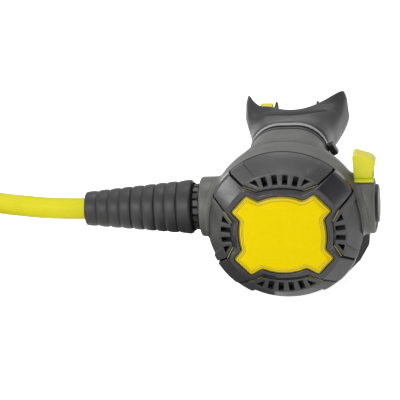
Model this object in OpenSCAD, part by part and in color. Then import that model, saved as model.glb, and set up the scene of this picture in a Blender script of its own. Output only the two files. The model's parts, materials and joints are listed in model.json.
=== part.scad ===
/* [Case] */
// Outer radius of the case rim behind the cover
case_r = 37.6; // [37.4:0.1:37.8]
// Height of the valve axis above the surface that the regulator stands on
axis_z = 43; // [42.5:0.5:43]
// Radius of the two side bosses
boss_r = 14.7; // [14.4:0.1:15]
// Distance from the middle to the face of the lever's boss
boss_end = 43.6; // [43.4:0.1:44]
// Distance from the middle to the face of the hose's boss
hose_boss_end = 42.1; // [42:0.1:42.3]

/* [Cover] */
// Outer radius of the front cover
cover_r = 38; // [37.6:0.1:38]
// Number of straight vent slots in the top and the bottom petal
vent_count = 4; // [2:2:4]
// Width of a vent slot
vent_w = 2.65; // [2:0.05:2.8]
// Travel of the purge button
purge_travel = 2.5; // [2:0.1:2.5]

/* [Mouthpiece] */
// Distance from the valve axis to the middle of the lip shield
lip_y = 54; // [50:1:56]
// Sweep of the lip shield's sides towards the diver
lip_sweep = 14; // [10:1:15]
// Half width of the lip shield
lip_half_w = 25.6; // [24:0.2:27]

/* [Hose] */
// Outside diameter of the hose
hose_d = 10.5; // [10.5:0.1:10.6]
// Least radius of the stored coil
coil_min_r = 50; // [48:1:52]
// Distance between neighbouring turns and layers of the coil
coil_pitch = 11.2; // [11.2:0.1:11.6]
// Number of turns in the coil
coil_turns = 2.25; // [2.25:0.25:2.25]
// Radius of the hose protector where the hose leaves it
boot_thin_r = 7.9; // [7.6:0.1:8.4]
// Radius of the hose protector beside the nut
boot_thick_r = 13; // [12.6:0.1:13.4]

/* [Hidden] */
$fn = 72;

cover_z = cover_r;
mouth_z = axis_z + 17.5;
hose_r = hose_d / 2;
fit = 0.06;

// Bowl of the case: flat back, elliptical shoulder
back_y = 19.5;
back_r = 22;
wall = 2.2;
skirt_r = 35.4;
skirt_y = -11.5;
rim_y = -2.7;
shoulder_y = -1.5;

// Mouth tube: outside of the neck, and the way for air
neck_w = 19.4;
neck_h = 15.4;
way_w = 14.8;
way_h = 10.8;

// Valve stations along X
barrel_in_x = -52;
barrel_out_x = 42.1;
barrel_r = 6.5;
barrel_bore_r = 5.6;
shoulder_r = 8;
wall_boss_r = 10.9;
nut_x = -31.9;
seat_x = -31.6;
pivot_x = 8;
pivot_y = -4.5;
right_wall_x = 39.3;
sleeve_r = 7.6;

// Front faces along Y
button_y = -27;
button_back_y = -24.6;
spider_y = -19.2;
sheet_y = -12.4;
plate_y = -11.6;

// Exhaust port
port_z = 27;
port_r = 10;
valve_r = 11.6;

// ---- helpers ----

module turned_y(z, points) {
    translate([0, 0, z]) rotate([-90, 0, 0]) rotate_extrude() polygon(points);
}

module turned_x(points) {
    translate([0, 0, axis_z]) rotate([0, 90, 0]) rotate_extrude() polygon(points);
}

module rod_x(r, from_x, to_x) {
    translate([from_x, 0, axis_z]) rotate([0, 90, 0]) cylinder(r = r, h = to_x - from_x);
}

module rod_y(r, from_y, to_y, z) {
    translate([0, from_y, z]) rotate([-90, 0, 0]) cylinder(r = r, h = to_y - from_y);
}

// An outline drawn in the front view, carried along Y
module front_prism(from_y, to_y, z) {
    translate([0, to_y, z]) rotate([90, 0, 0]) linear_extrude(to_y - from_y) children();
}

// A rubber ring of round section, on the valve axis
module o_ring_x(x, mid_r, wire_r) {
    translate([x, 0, axis_z]) rotate([0, 90, 0])
        rotate_extrude() translate([mid_r, 0]) circle(r = wire_r, $fn = 24);
}

module stadium(half_w, half_h) {
    for (side = [-1, 1])
        translate([side * (half_w - half_h), 0]) circle(r = half_h);
    square([2 * (half_w - half_h), 2 * half_h], center = true);
}

// Four mirrored copies of a quarter outline that runs from the top to the right
function mirrored(q) = let (n = len(q)) concat(
    q,
    [for (i = [n - 2:-1:0]) [q[i][0], -q[i][1]]],
    [for (i = [1:n - 1]) [-q[i][0], -q[i][1]]],
    [for (i = [n - 2:-1:1]) [-q[i][0], q[i][1]]]);

// ---- tubes swept along a route, and helical springs ----

function unit(v) = v / norm(v);
function route_dir(p, i) = unit(p[min(i + 1, len(p) - 1)] - p[max(i - 1, 0)]);
function ring_side(d) = unit(cross(d, [0, 0, 1]));
function tube_points(p, r, sides) = [
    for (i = [0:len(p) - 1]) let (d = route_dir(p, i), s = ring_side(d), u = cross(s, d))
        for (k = [0:sides - 1]) p[i] + r * (cos(360 * k / sides) * s + sin(360 * k / sides) * u)];
function tube_faces(rings, sides) = concat(
    [for (k = [1:sides - 2]) [0, k + 1, k]],
    [for (i = [0:rings - 2], k = [0:sides - 1], half = [0, 1])
        let (a = i * sides + k, b = i * sides + (k + 1) % sides)
            half == 0 ? [a, b, a + sides] : [b, b + sides, a + sides]],
    [for (k = [1:sides - 2]) let (o = (rings - 1) * sides) [o, o + k, o + k + 1]]);

module tube(p, r, sides) {
    polyhedron(points = tube_points(p, r, sides), faces = tube_faces(len(p), sides));
}

// Spring along local Z; the ends lie flat against what they press on
module spring(mid_r, wire_r, length, turns) {
    steps = turns * 10;
    p = [for (i = [0:steps]) let (a = 360 * i * turns / steps)
        [mid_r * cos(a), mid_r * sin(a), wire_r + (length - 2 * wire_r) * i / steps]];
    tube(p, wire_r, 6);
}

// ---- case ----

function case_outer(grow) = concat(
    [[0, skirt_y], [skirt_r, skirt_y], [skirt_r, rim_y], [case_r + grow, rim_y]],
    [for (t = [0:7.5:90]) [back_r + grow + (case_r - back_r) * cos(t),
        shoulder_y + (back_y + grow - shoulder_y) * sin(t)]],
    [[0, back_y + grow]]);
case_inner = concat(
    [[0, skirt_y - 1], [32.6, skirt_y - 1], [33.2, 1]],
    [for (t = [7.5:7.5:90]) [21 + 12.2 * cos(t), 1 + (back_y - wall - 1) * sin(t)]],
    [[0, back_y - wall]]);

module bosses(r) {
    difference() {
        union() {
            turned_x([[0, 20], [r, 20], [r, boss_end - 1.6], [r - 0.5, boss_end - 0.5],
                [r - 1.6, boss_end], [0, boss_end]]);
            turned_x([[0, -20], [r, -20], [r, 1.4 - hose_boss_end], [r - 0.4, 0.4 - hose_boss_end],
                [r - 1.4, -hose_boss_end], [0, -hose_boss_end]]);
        }
        turned_y(cover_z, [[0, -20], [39, -20], [39, rim_y], [0, rim_y]]);
    }
}

module port_window() {
    difference() {
        rod_y(port_r, back_y - wall - 1, back_y + 3, port_z);
        rod_y(3.2, back_y - wall - 2, back_y + 4, port_z);
        for (a = [90, 210, 330])
            translate([0, back_y - 3, port_z]) rotate([0, a, 0])
                translate([0, 0, -0.8]) cube([port_r + 1, 8, 1.6]);
    }
}

// Sector around the valve axis, from one angle behind the top to another
module lever_slot() {
    translate([33.8, 0, axis_z]) rotate([90, 0, 90]) linear_extrude(12)
        difference() {
            polygon([[0, 0], [-7, 30], [10, 30], [24, 22], [30, 12], [30, 1]]);
            circle(r = 10.4);
        }
}

module housing() {
    color("#56575b") difference() {
        union() {
            difference() {
                union() {
                    turned_y(cover_z, case_outer(0));
                    bosses(boss_r);
                    front_prism(1, 19.6, mouth_z) stadium(neck_w, neck_h);
                    front_prism(1, 33, mouth_z) stadium(17.2, 13.2);
                    rod_y(13.4, 12, 22, port_z);
                    // Small foot under the rim
                    translate([-5, -2.4, 0]) cube([10, 5, 3]);
                }
                turned_y(cover_z, case_inner);
                front_prism(-2, 34, mouth_z) stadium(way_w, way_h);
                rod_y(12.2, back_y, 23, port_z);
            }
            rod_x(wall_boss_r, -39, nut_x - 0.05);
            rod_x(wall_boss_r, 33, right_wall_x);
            intersection() {
                rod_x(12.6, 30, 41);
                turned_y(cover_z, [[0, -10], [34.6, -10], [34.6, 15], [0, 15]]);
            }
        }
        rod_x(shoulder_r + fit, -45, -31);
        rod_x(10.2, nut_x - 0.05, -28);
        rod_x(sleeve_r + fit, 29, 41);
        rod_x(8.7, 35.4, 36.5);
        rod_x(12.3, right_wall_x, 46);
        lever_slot();
        port_window();
        rod_y(1.6, 10, 24, port_z);
    }
}

// ---- cover ----

// Edge of the petals, with the direction away from the cross frame at each point
petal_edge = [[0, 24.2], [4, 24.0], [7.5, 23.5], [10.5, 22.7], [17.9, 25.2], [24, 28.7], [31, 33.2],
    [40, 23.2], [33.8, 16.8], [28, 11.8], [24.9, 6], [25.3, 3], [25.5, 0]];
petal_out = [[0, 1], [0.06, 1], [0.12, 1], [-0.1, 1], [-0.42, 0.9], [-0.52, 0.86], [-0.52, 0.86],
    [0.7, -0.72], [0.7, -0.72], [0.78, -0.63], [1, -0.1], [1, 0], [1, 0]];
frame_gap = 1;
badge_edge = [[0, 20], [3.6, 19.75], [7.2, 19], [9.9, 17.9], [10.9, 17.7], [15.9, 20.6], [16.9, 20.4],
    [23.9, 12.8], [24, 11.8], [20.6, 7.8], [20.5, 7], [21.1, 3.5], [21.3, 0]];
badge_out = [[0, 1], [0.1, 1], [0.2, 1], [0, 1], [-0.2, 1], [-0.1, 1], [0.7, 0.7], [0.7, 0.7],
    [1, 0], [0.9, -0.3], [1, -0.2], [1, 0.1], [1, 0]];

module frame_outline(gap) {
    polygon(mirrored([for (i = [0:len(petal_edge) - 1])
        petal_edge[i] - (frame_gap - gap) * petal_out[i]]));
}

module badge_outline(grow) {
    polygon(mirrored([for (i = [0:len(badge_edge) - 1]) badge_edge[i] + grow * badge_out[i]]));
}

// Front of the cover, and the lower front of each petal's middle
cover_top = [[38, -16.2], [37.4, -17.6], [31.2, -23.9], [24, -25.2], [0, -26]];
cover_low = [[40, -12.8], [38, -13.2], [37.5, -14.6], [31, -22.9], [31, -27], [40, -27]];
// Half outlines of the lower middles in the front view, top and side petals
low_top = [[0, 30], [12.6, 29.2], [28, 40], [0, 45]];
low_side = [[0, 29], [5.2, 29.2], [17.2, 37.4], [0, 45]];

module petal_middle(half) {
    polygon(concat(half, [for (i = [len(half) - 1:-1:0]) [-half[i][0], half[i][1]]]));
}

// Slots at even angles, with a three-sided opening past each end of the row
module vent_row(slots) {
    pitch = 10.35;
    for (i = [0:slots - 1])
        rotate(90 + pitch * (i - (slots - 1) / 2)) translate([25.4, -vent_w / 2]) square([4.8, vent_w]);
    for (side = [-1, 1])
        rotate(90 + side * pitch * (slots + 1) / 2)
            polygon([[30.2, -side * 1.6], [30.2, side * 1.9], [26.2, -side * 1.6]]);
}

module cover_ring() {
    color("#5b5c60") difference() {
        turned_y(cover_z, concat([[skirt_r + fit, -3], [38, -3]], cover_top,
            [[0, -23.6], [28.9, -21.6], [33, -16.5], [33, sheet_y], [skirt_r + fit, sheet_y]]));
        intersection() {
            turned_y(cover_z, cover_low);
            front_prism(-30, -12, cover_z) {
                for (turn = [0, 180])
                    rotate(turn) petal_middle(low_top);
                for (turn = [90, 270])
                    rotate(turn) petal_middle(low_side);
            }
        }
        front_prism(-30, -20, cover_z) badge_outline(0.5);
        intersection() {
            front_prism(-30, -12.2, cover_z) frame_outline(frame_gap);
            turned_y(cover_z, [[0, -40], [46, -40], [46, -12.4], [36.9, -12.4], [36.4, -13.9],
                [29.9, -22.5], [24, -23.7], [0, -24.5]]);
        }
        front_prism(-30, -18, cover_z) {
            for (turn = [0, 180])
                rotate(turn) vent_row(vent_count);
            for (turn = [90, 270])
                rotate(turn) vent_row(vent_count / 2);
        }
        rod_x(wall_boss_r + 0.3, -46, 46);
    }
}

module x_frame() {
    color("#4c4b50") intersection() {
        front_prism(-30, -12.2, cover_z) difference() {
            frame_outline(0);
            badge_outline(0.3);
        }
        turned_y(cover_z, [[18, -24.4], [24, -23.75], [29.95, -22.55], [36.45, -13.9], [36.95, -12.5],
            [38.2, -12.5], [38.2, -16.8], [37.5, -18.1], [30.2, -25.6], [28.6, -26.4], [18, -26.6]]);
    }
}

module purge_button() {
    color("#eed700") {
        front_prism(-26, button_back_y, cover_z) badge_outline(0);
        front_prism(button_y, -26, cover_z) badge_outline(-0.8);
        rod_y(5, button_back_y - 0.4, sheet_y - 0.1, cover_z);
    }
}

module purge_spring() {
    color("#b9bcc0") translate([0, button_back_y + 0.05, cover_z]) rotate([-90, 0, 0])
        spring(6.6, 0.35, spider_y - button_back_y - 0.1, 3);
}

module cover_spider() {
    color("#303135") difference() {
        turned_y(cover_z, [[5 + fit, spider_y], [30.75, spider_y], [32.15, -17.4], [5 + fit, -17.4]]);
        for (a = [0:60:300])
            translate([0, -20, cover_z]) rotate([-90, a, 0]) translate([19.5, 0, 0]) cylinder(r = 6.4, h = 4);
    }
}

module diaphragm() {
    color("#8f9194") turned_y(cover_z, [[0, sheet_y], [24.5, sheet_y], [26, -13.2], [28, -13.2],
        [29.5, sheet_y], [35, sheet_y], [35, plate_y], [29.9, plate_y], [28.2, -12.4], [25.8, -12.4],
        [24.1, plate_y], [0, plate_y]]);
}

module diaphragm_plate() {
    color("#c7c9cc") turned_y(cover_z, [[0, plate_y + 0.02], [13, plate_y + 0.02], [13, -10.8], [0, -10.8]]);
}

// ---- demand valve ----

module valve_barrel() {
    flange_x = -hose_boss_end - 0.02;
    color("#c3b27a") difference() {
        turned_x([[0, barrel_in_x], [7.14, barrel_in_x], [7.14, flange_x - 0.58], [9.4, flange_x - 0.58],
            [9.4, flange_x], [shoulder_r, flange_x], [shoulder_r, -33], [barrel_r, -33],
            [barrel_r, barrel_out_x], [0, barrel_out_x]]);
        rod_x(5, barrel_in_x - 1, -43);
        rod_x(barrel_bore_r, -43.5, barrel_out_x + 1);
        translate([-38.6, 0, axis_z]) rotate([0, 90, 0]) difference() {
            cylinder(r = 9, h = 1.2);
            cylinder(r = 7.1, h = 1.2);
        }
        translate([-10, -10, axis_z - 3.1]) cube([22.6, 8, 6.2]);
        translate([pivot_x, pivot_y, axis_z - 8]) cylinder(r = 0.88, h = 16, $fn = 24);
        translate([-20, 0, axis_z]) rotate([-50, 0, 0]) cylinder(r = 3.4, h = 9);
    }
}

module barrel_nut() {
    color("#c3b27a") difference() {
        translate([nut_x, 0, axis_z]) rotate([0, 90, 0]) cylinder(r = 9.6, h = 3, $fn = 6);
        rod_x(barrel_r + 0.04, -34, -28);
    }
}

module barrel_o_ring() {
    color("#1f1f21") o_ring_x(-38, 7.58, 0.45);
}

module orifice() {
    color("#c3b27a") difference() {
        turned_x([[0, -41], [5.5, -41], [5.5, -38.2], [4.5, -38.2], [4.5, -36.6], [5.5, -36.6],
            [5.5, -35], [2.9, -34.4], [2.6, seat_x - 0.1], [0, seat_x - 0.1]]);
        rod_x(2.1, -42, -30);
    }
}

module orifice_o_ring() {
    color("#1f1f21") o_ring_x(-37.4, 5.04, 0.5);
}

module poppet() {
    color("#2f3033") difference() {
        union() {
            turned_x([[0, seat_x], [4.5, seat_x], [4.5, -26], [1.4, -24.5], [1.4, 22], [0, 22]]);
            for (a = [0:90:270])
                translate([-31, 0, axis_z]) rotate([a, 0, 0]) translate([0, -0.6, 3]) cube([9, 1.2, 2.5]);
        }
        rod_x(3.3, seat_x - 1, -30);
    }
}

module poppet_seat() {
    color("#1f1f21") rod_x(3.26, seat_x, -30.05);
}

module poppet_nut() {
    color("#c3b27a") difference() {
        translate([8.7, 0, axis_z]) rotate([0, 90, 0]) cylinder(r = 4.4, h = 3, $fn = 6);
        rod_x(1.42, 8, 13);
    }
}

module poppet_spring() {
    color("#b9bcc0") translate([11.9, 0, axis_z]) rotate([0, 90, 0]) spring(3, 0.4, 13.2, 6);
}

module spring_plug() {
    color("#c3b27a") difference() {
        rod_x(barrel_bore_r - 0.04, 25.3, 31);
        rod_x(1.6, 24, 32);
        translate([29.6, -4, axis_z - 0.6]) cube([2, 8, 1.2]);
    }
}

module demand_lever() {
    tip_x = -10;
    tip_y = -9.9;
    reach = norm([pivot_x - tip_x, pivot_y - tip_y]);
    slope = atan2(pivot_y - tip_y, pivot_x - tip_x);
    color("#c7c9cc") {
        translate([tip_x, tip_y, axis_z - 2.8]) rotate([0, 0, slope]) translate([0, -0.45, 0])
            cube([reach + 0.3, 0.9, 5.6]);
        translate([tip_x, tip_y, axis_z - 2.7]) cylinder(r = 0.8, h = 5.4, $fn = 24);
        translate([pivot_x, pivot_y, axis_z - 5.5]) cylinder(r = 0.8, h = 11, $fn = 24);
        for (side = [-1, 1])
            translate([pivot_x - 0.5, pivot_y - 0.3, axis_z + side * 2.2 - 0.55]) cube([1, 5.8, 1.1]);
    }
}

// ---- venturi control and right boss ----

module venturi_lever() {
    color("#e8e032") {
        difference() {
            rod_x(12, 39.5, 41.9);
            rod_x(9.46, 39, 42);
        }
        // Foot of the finger, inside the slot in the boss
        translate([34.2, -2.2, axis_z + 11.2]) cube([7.7, 7.2, 3.6]);
        // Finger with a top that slopes down to the outside
        translate([0, 4.6, axis_z]) rotate([90, 0, 0]) linear_extrude(6.4)
            polygon([[33.6, 14.7], [33.9, 25.5], [34.8, 26.3], [42.8, 22.8], [43.6, 21.7],
                [42.2, 14.7]]);
    }
}

module venturi_vane() {
    color("#303135") {
        difference() {
            rod_x(sleeve_r, 14, 39.45);
            rod_x(barrel_r + fit, 13, 40);
        }
        translate([2, 0, axis_z]) rotate([-25, 0, 0]) difference() {
            translate([12.2, -0.6, 7]) cube([10.6, 1.2, 6.4]);
            translate([-10, -2, 7.1]) cube([22, 4, 0.3]);
        }
    }
}

module venturi_o_ring() {
    color("#1f1f21") o_ring_x(35.95, 8.17, 0.5);
}

module lever_nut() {
    color("#c3b27a") difference() {
        rod_x(9.4, 39.5, 42.05);
        rod_x(barrel_r + 0.04, 39, 43);
    }
}

module end_cap() {
    color("#515256") difference() {
        turned_x([[0, 36], [5.5, 36], [5.5, 38.2], [4.5, 38.2], [4.5, 39.8], [5.5, 39.8], [5.5, 42.2],
            [12.2, 42.2], [12.2, 43], [9.4, 43.2], [9.4, 44.5], [8.9, 45], [0, 45.2]]);
        rod_x(3, 35, 40);
    }
}

module end_cap_o_ring() {
    color("#1f1f21") o_ring_x(39, 5.04, 0.5);
}

// ---- exhaust ----

module exhaust_valve() {
    color("#9b9da0") turned_y(port_z, [[0, 14.6], [1.2, 14.6], [2.2, 15.4], [2.2, 15.9], [1.5, 15.9],
        [1.5, 19.6], [valve_r, 19.6], [valve_r, 20.1], [6, 20.5], [0, 20.5]]);
}

tee_half = [[0, 0], [15, 0], [26, 3], [34, 11], [38.6, 19], [39, 23.5], [36.5, 25.8], [30, 30.5],
    [17, 38], [9, 41.6], [0, 42]];
tee_in = [[0, 2], [14.4, 2], [25.2, 5], [32.4, 12.2], [36.6, 19.6], [36.8, 22.8], [35.4, 24],
    [29, 28.6], [16, 36.2], [8.4, 39.6], [0, 40]];

module tee_outline(half) {
    polygon(half);
    mirror([1, 0]) polygon(half);
}

module exhaust_tee() {
    color("#3f4044") difference() {
        union() {
            front_prism(5, 26, 0) tee_outline(tee_half);
            rod_y(15, 19.8, 31, port_z);
        }
        turned_y(cover_z, case_outer(0.25));
        rod_x(boss_r + 0.3, -46, 46);
        rod_y(13.5, 12, 22.2, port_z);
        difference() {
            front_prism(8, 24, 0) tee_outline(tee_in);
            turned_y(cover_z, case_outer(1.8));
            rod_x(boss_r + 2, -46, 46);
        }
        rod_y(12.4, 19, 29, port_z);
        for (side = [0, 1])
            mirror([side, 0, 0]) translate([32.5, 10, 6]) cube([9, 12, 15.5]);
    }
}

// ---- mouthpiece ----

// One closed ring of points round a level that lies above the middle of the tube. Power 0 gives a
// slot shape, with half circles at its sides. Any other power gives the upper half as a squared
// oval: 2 is a plain oval and 5 is nearly a box. Its ends can be lifted; the lower half is an oval.
mouth_sides = 40;
function oval_reach(a, n) = pow(pow(abs(cos(a)), n) + pow(abs(sin(a)), n), -1 / n);
function lip_ring(half_w, high, low, y, sweep, power, level, lift) = [for (k = [0:mouth_sides - 1])
    let (a = 360 * (k + 0.5) / mouth_sides, up = sin(a) > 0, reach = oval_reach(a, up ? power : 2.2),
        x = power == 0 ? sign(cos(a)) * (half_w - high) + high * cos(a) : half_w * cos(a) * reach,
        z = power == 0 ? high * sin(a) : (up ? high : low) * sin(a) * reach)
            [x, y + sweep * pow(x / half_w, 2), mouth_z + level + z + (up ? lift * pow(x / half_w, 2) : 0)]];
// Half width, upper height, lower height, y, sweep share, squaring power, level, lift of the ends
mouth_stations = [[neck_w, neck_h, 0, 19.9, 0, 0, 0, 0], [neck_w, neck_h, 0, 22, 0, 0, 0, 0],
    [18.7, 14.7, 0, 22.4, 0, 0, 0, 0], [18.7, 14.7, 0, 25.6, 0, 0, 0, 0], [neck_w, neck_h, 0, 26, 0, 0, 0, 0],
    [19.8, 14.8, 15, 32, 0.05, 2.5, 0, 0], [21, 12.6, 15, 40, 0.25, 2.6, 0.4, 0.6],
    [23, 10.1, 15.5, 47, 0.6, 2.8, 1.1, 2.5], [24.6, 8.3, 16.4, 50.8, 0.85, 3.4, 2, 4.6],
    [25.5, 8.5, 17.2, 53.4, 0.97, 4.6, 3, 6.4], [25.6, 8.6, 17.4, 54, 1, 5, 3.1, 6.6],
    [24.8, 8, 16.6, 54.7, 1, 5, 3.1, 6.4], [22.4, 6.6, 14.4, 53.2, 0.85, 3.2, 2.6, 4.2],
    [13.6, 6.6, 8.6, 50.2, 0.35, 2.3, 0.6, 0.4], [12.6, 6.4, 7.4, 47, 0.2, 2.3, 0.3, 0],
    [13.4, 8.6, 8.6, 40, 0.05, 2.3, 0, 0], [way_w, way_h, 0, 33.4, 0, 0, 0, 0],
    [17.4, 13.4, 0, 33.3, 0, 0, 0, 0], [17.4, 13.4, 0, 19.9, 0, 0, 0, 0]];

function loop_faces(rings, sides) = [for (i = [0:rings - 1], k = [0:sides - 1], half = [0, 1])
    let (j = (i + 1) % rings, a = i * sides + k, b = i * sides + (k + 1) % sides,
        c = j * sides + k, d = j * sides + (k + 1) % sides)
            half == 0 ? [a, b, c] : [b, d, c]];

tab_y = 62.9;

module mouthpiece() {
    scale_w = lip_half_w / 25.6;
    shift = lip_y - 54;
    rings = [for (s = mouth_stations) let (far = max(0, (s[3] - 30) / 24))
        lip_ring(s[0] * (1 + (scale_w - 1) * far), s[1], s[2], s[3] + shift * far, lip_sweep * s[4], s[5],
            s[6], s[7])];
    color("#4e4f53") {
        polyhedron(points = [for (r = rings) each r], faces = loop_faces(len(rings), mouth_sides));
        // A stem and an upright tab on each side, with a tongue that holds the bite pad
        for (side = [-1, 1]) {
            translate([side * 10.3 - 1, 51, mouth_z - 3]) cube([2, 14, 6]);
            translate([side * 10.3 - 1, tab_y, mouth_z]) rotate([90, 0, 90]) linear_extrude(2)
                polygon([[0, -8], [8.4, -8], [8.4, 10.8], [6.6, 9.4], [0, 5.6]]);
            translate([side * 12 - 1, tab_y + 2, mouth_z - 3]) cube([2, 4, 6]);
        }
    }
}

module bite_pads() {
    color("#e9dd1c") for (side = [-1, 1])
        difference() {
            translate([side * 14.5 - 3.15, tab_y, mouth_z - 8]) cube([6.3, 8.4, 17.6]);
            translate([side * 12 - 1.05, tab_y + 1.95, mouth_z - 3.05]) cube([2.1, 4.1, 6.1]);
        }
}

module mouthpiece_tie() {
    color("#a8a9ab") front_prism(22.6, 25.4, mouth_z) difference() {
        stadium(20.1, 16.1);
        stadium(18.95, 14.95);
    }
}

module tie_head() {
    color("#2b2c2f") translate([20.2, 21.6, mouth_z - 0.5]) cube([2.8, 4.8, 6]);
}

// ---- hose end at the regulator ----

module hose_nut() {
    grip_x = boot_end + 0.25;
    grip_w = -hose_boss_end - 0.72 - grip_x;
    color("#3a3b3e") difference() {
        union() {
            turned_x([[0, -57], [9.6, -57], [10.2, -56.4], [10.2, grip_x], [0, grip_x]]);
            rod_x(10.5, grip_x, grip_x + grip_w);
            for (a = [0:20:340])
                translate([grip_x, 0, axis_z]) rotate([a, 0, 0]) translate([0, -1.35, 10])
                    cube([grip_w, 2.7, 1.25]);
        }
        rod_x(7.22, -54.1, -41);
        rod_x(5.06, -58, -54);
    }
}

module hose_stem() {
    color("#c3b27a") difference() {
        turned_x([[0, -80], [3.2, -80], [3.2, -61.5], [5, -61.5], [5, -54.05], [6.8, -54.05],
            [6.8, -52.15], [4.9, -52.15], [4.9, -49.6], [3.9, -49.6], [3.9, -48], [4.9, -48],
            [4.9, -45], [0, -45]]);
        rod_x(2.3, -81, -44);
    }
}

module stem_o_ring() {
    color("#1f1f21") o_ring_x(-48.8, 4.43, 0.5);
}

module hose_ferrule() {
    color("#b9bcc0") difference() {
        rod_x(7.4, -79.6, -58.6);
        rod_x(hose_r + 0.02, -80, -60.6);
        rod_x(5.02, -62, -58);
    }
}

module hose_end() {
    color("#e8e227") difference() {
        rod_x(hose_r, -80, -60.7);
        rod_x(3.22, -81, -61.4);
        rod_x(5.02, -61.6, -60);
    }
}

function boot_r(x) = boot_thin_r + (boot_thick_r - boot_thin_r) * pow((x + 99.6) / 52.6, 0.95);
boot_grooves = [[-95.1, 0.35], [-89.4, 0.5], [-83.9, 0.5], [-78.3, 1], [-72.8, 0.5], [-67.1, 1.1],
    [-61.7, 0.5], [-55.7, 1.2], [-51.2, 0.3]];

boot_end = -46.05;

module hose_boot() {
    color("#46474a") turned_x(concat(
        [[hose_r + 0.1, -99.6], [boot_thin_r - 1, -99.6], [boot_thin_r, -98.6]],
        [for (g = boot_grooves) each [[boot_r(g[0] - 1.1), g[0] - 1.1],
            [boot_r(g[0]) - g[1], g[0] - 0.4], [boot_r(g[0]) - g[1], g[0] + 0.4],
            [boot_r(g[0] + 1.1) + 0.2, g[0] + 1.1]]],
        [[boot_thick_r, boot_end - 1.5], [boot_thick_r - 0.4, boot_end - 0.5], [boot_thick_r - 1.4, boot_end],
            [10.6, boot_end], [10.6, -57.5], [7.46, -57.5],
            [7.46, -79.9], [hose_r + 0.1, -79.9]]));
}

// ---- hose, from the fitting through the protector to the coil ----

lift = 0.9;
end_lift = 1.15;
coil_c = [-218.3, 5.4];
coil_a0 = 65;
hose_route = [[-80.2, 0, axis_z], [-90, 0, axis_z], [-99.6, 0, axis_z], [-108, 0.6, 42.9],
    [-117, 2.4, 42.6], [-126, 5.4, 42.1], [-134, 9.2, 41.5], [-141.6, 13.6, 40.6], [-148.4, 19.2, 39.3],
    [-154.2, 25.6, 37.4], [-159.4, 32.6, 34.6], [-164.4, 39.7, 31], [-169.9, 46.7, 27.1],
    [-176.4, 53, 23.3], [-183.9, 58, 20.2], [-191.3, 61.85, 18.6]];

function smooth(t) = let (c = max(0, min(1, t))) c * c * (3 - 2 * c);
half_t = coil_turns / 2;
low_z = hose_r + lift;
// Radius and height of the hose after t turns: in along the upper layer, out along the lower one
function coil_r(t) = coil_min_r + coil_pitch * abs(half_t - t);
function coil_z(t) = low_z + coil_pitch * (1 - smooth((t - half_t + 0.25) / 0.5))
    + end_lift * (1 - smooth(t / 0.5)) + end_lift * smooth((t - coil_turns + 0.35) / 0.35);
function coil_point(t) = [coil_c[0] + coil_r(t) * cos(coil_a0 + 360 * t),
    coil_c[1] + coil_r(t) * sin(coil_a0 + 360 * t), coil_z(t)];
coil_heading = coil_a0 + 360 * coil_turns + 90;
heading = [cos(coil_heading), sin(coil_heading), 0];
tail = 22;
coil_path = concat([for (i = [0:24 * coil_turns]) coil_point(i / 24)],
    [coil_point(coil_turns) + tail * heading]);
far_start = coil_path[len(coil_path) - 1];
// Least distance between turns, less the diameter, on points a whole turn or more apart
coil_gap = min([for (i = [0:24 * coil_turns], j = [0:24 * coil_turns]) if (j - i > 12)
    norm(coil_path[i] - coil_path[j])]) - hose_d;
echo(coil_gap = coil_gap);

module hose_run() {
    color("#e8e227") tube(hose_route, hose_r, 12);
}

module hose_coil() {
    color("#e8e227") tube(coil_path, hose_r, 6);
}

module rounded_box(half_w, low, high, r) {
    for (x = [-1, 1], z = [low + r, high - r])
        translate([x * (half_w - r), z]) circle(r = r, $fn = 24);
    translate([-half_w, low + r]) square([2 * half_w, high - low - 2 * r]);
    translate([r - half_w, low]) square([2 * (half_w - r), high - low]);
}

// A strap round the two layers, at the place that the hose reaches after t and t + 1 turns
module coil_tie(t) {
    mid = (coil_r(t) + coil_r(t + 1)) / 2;
    half_w = abs(coil_r(t) - coil_r(t + 1)) / 2 + hose_r + 0.7;
    translate([coil_c[0], coil_c[1], 0]) rotate(coil_a0 + 360 * t) translate([mid, 5, 0]) rotate([90, 0, 0])
        linear_extrude(10) difference() {
            rounded_box(half_w + 0.8, 0, low_z + coil_pitch + hose_r + 1.4, 5);
            rounded_box(half_w, 0.8, low_z + coil_pitch + hose_r + 0.6, 4.2);
        }
}

module coil_ties() {
    color("#2b2c2f") {
        coil_tie(0.56);
        coil_tie(0.82);
    }
}

// ---- free end ----

module at_far_end() {
    translate(far_start) rotate([0, 0, coil_heading]) rotate([0, 90, 0]) children();
}

module far_ferrule() {
    color("#b9bcc0") at_far_end() rotate_extrude()
        polygon([[3.3, 0.05], [6.2, 0.05], [6.8, 0.8], [6.8, 17.6], [3.3, 17.6]]);
}

module far_fitting() {
    color("#c9cacc") at_far_end() difference() {
        union() {
            translate([0, 0, 0.05]) cylinder(r = 3.25, h = 18);
            translate([0, 0, 17.7]) rotate(30) cylinder(r = 7 / cos(30), h = 9.3, $fn = 6);
            translate([0, 0, 20]) cylinder(r = 6.4, h = 8.2);
            translate([0, 0, 28]) cylinder(r = 3.8, h = 3);
            translate([0, 0, 30.2]) cylinder(r = 4.7625, h = 7.8);
        }
        translate([0, 0, -1]) cylinder(r = 2.3, h = 41);
    }
}

module far_o_ring() {
    color("#1f1f21") at_far_end() translate([0, 0, 29.2]) rotate_extrude()
        translate([4.78, 0]) circle(r = 0.94, $fn = 24);
}

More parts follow.
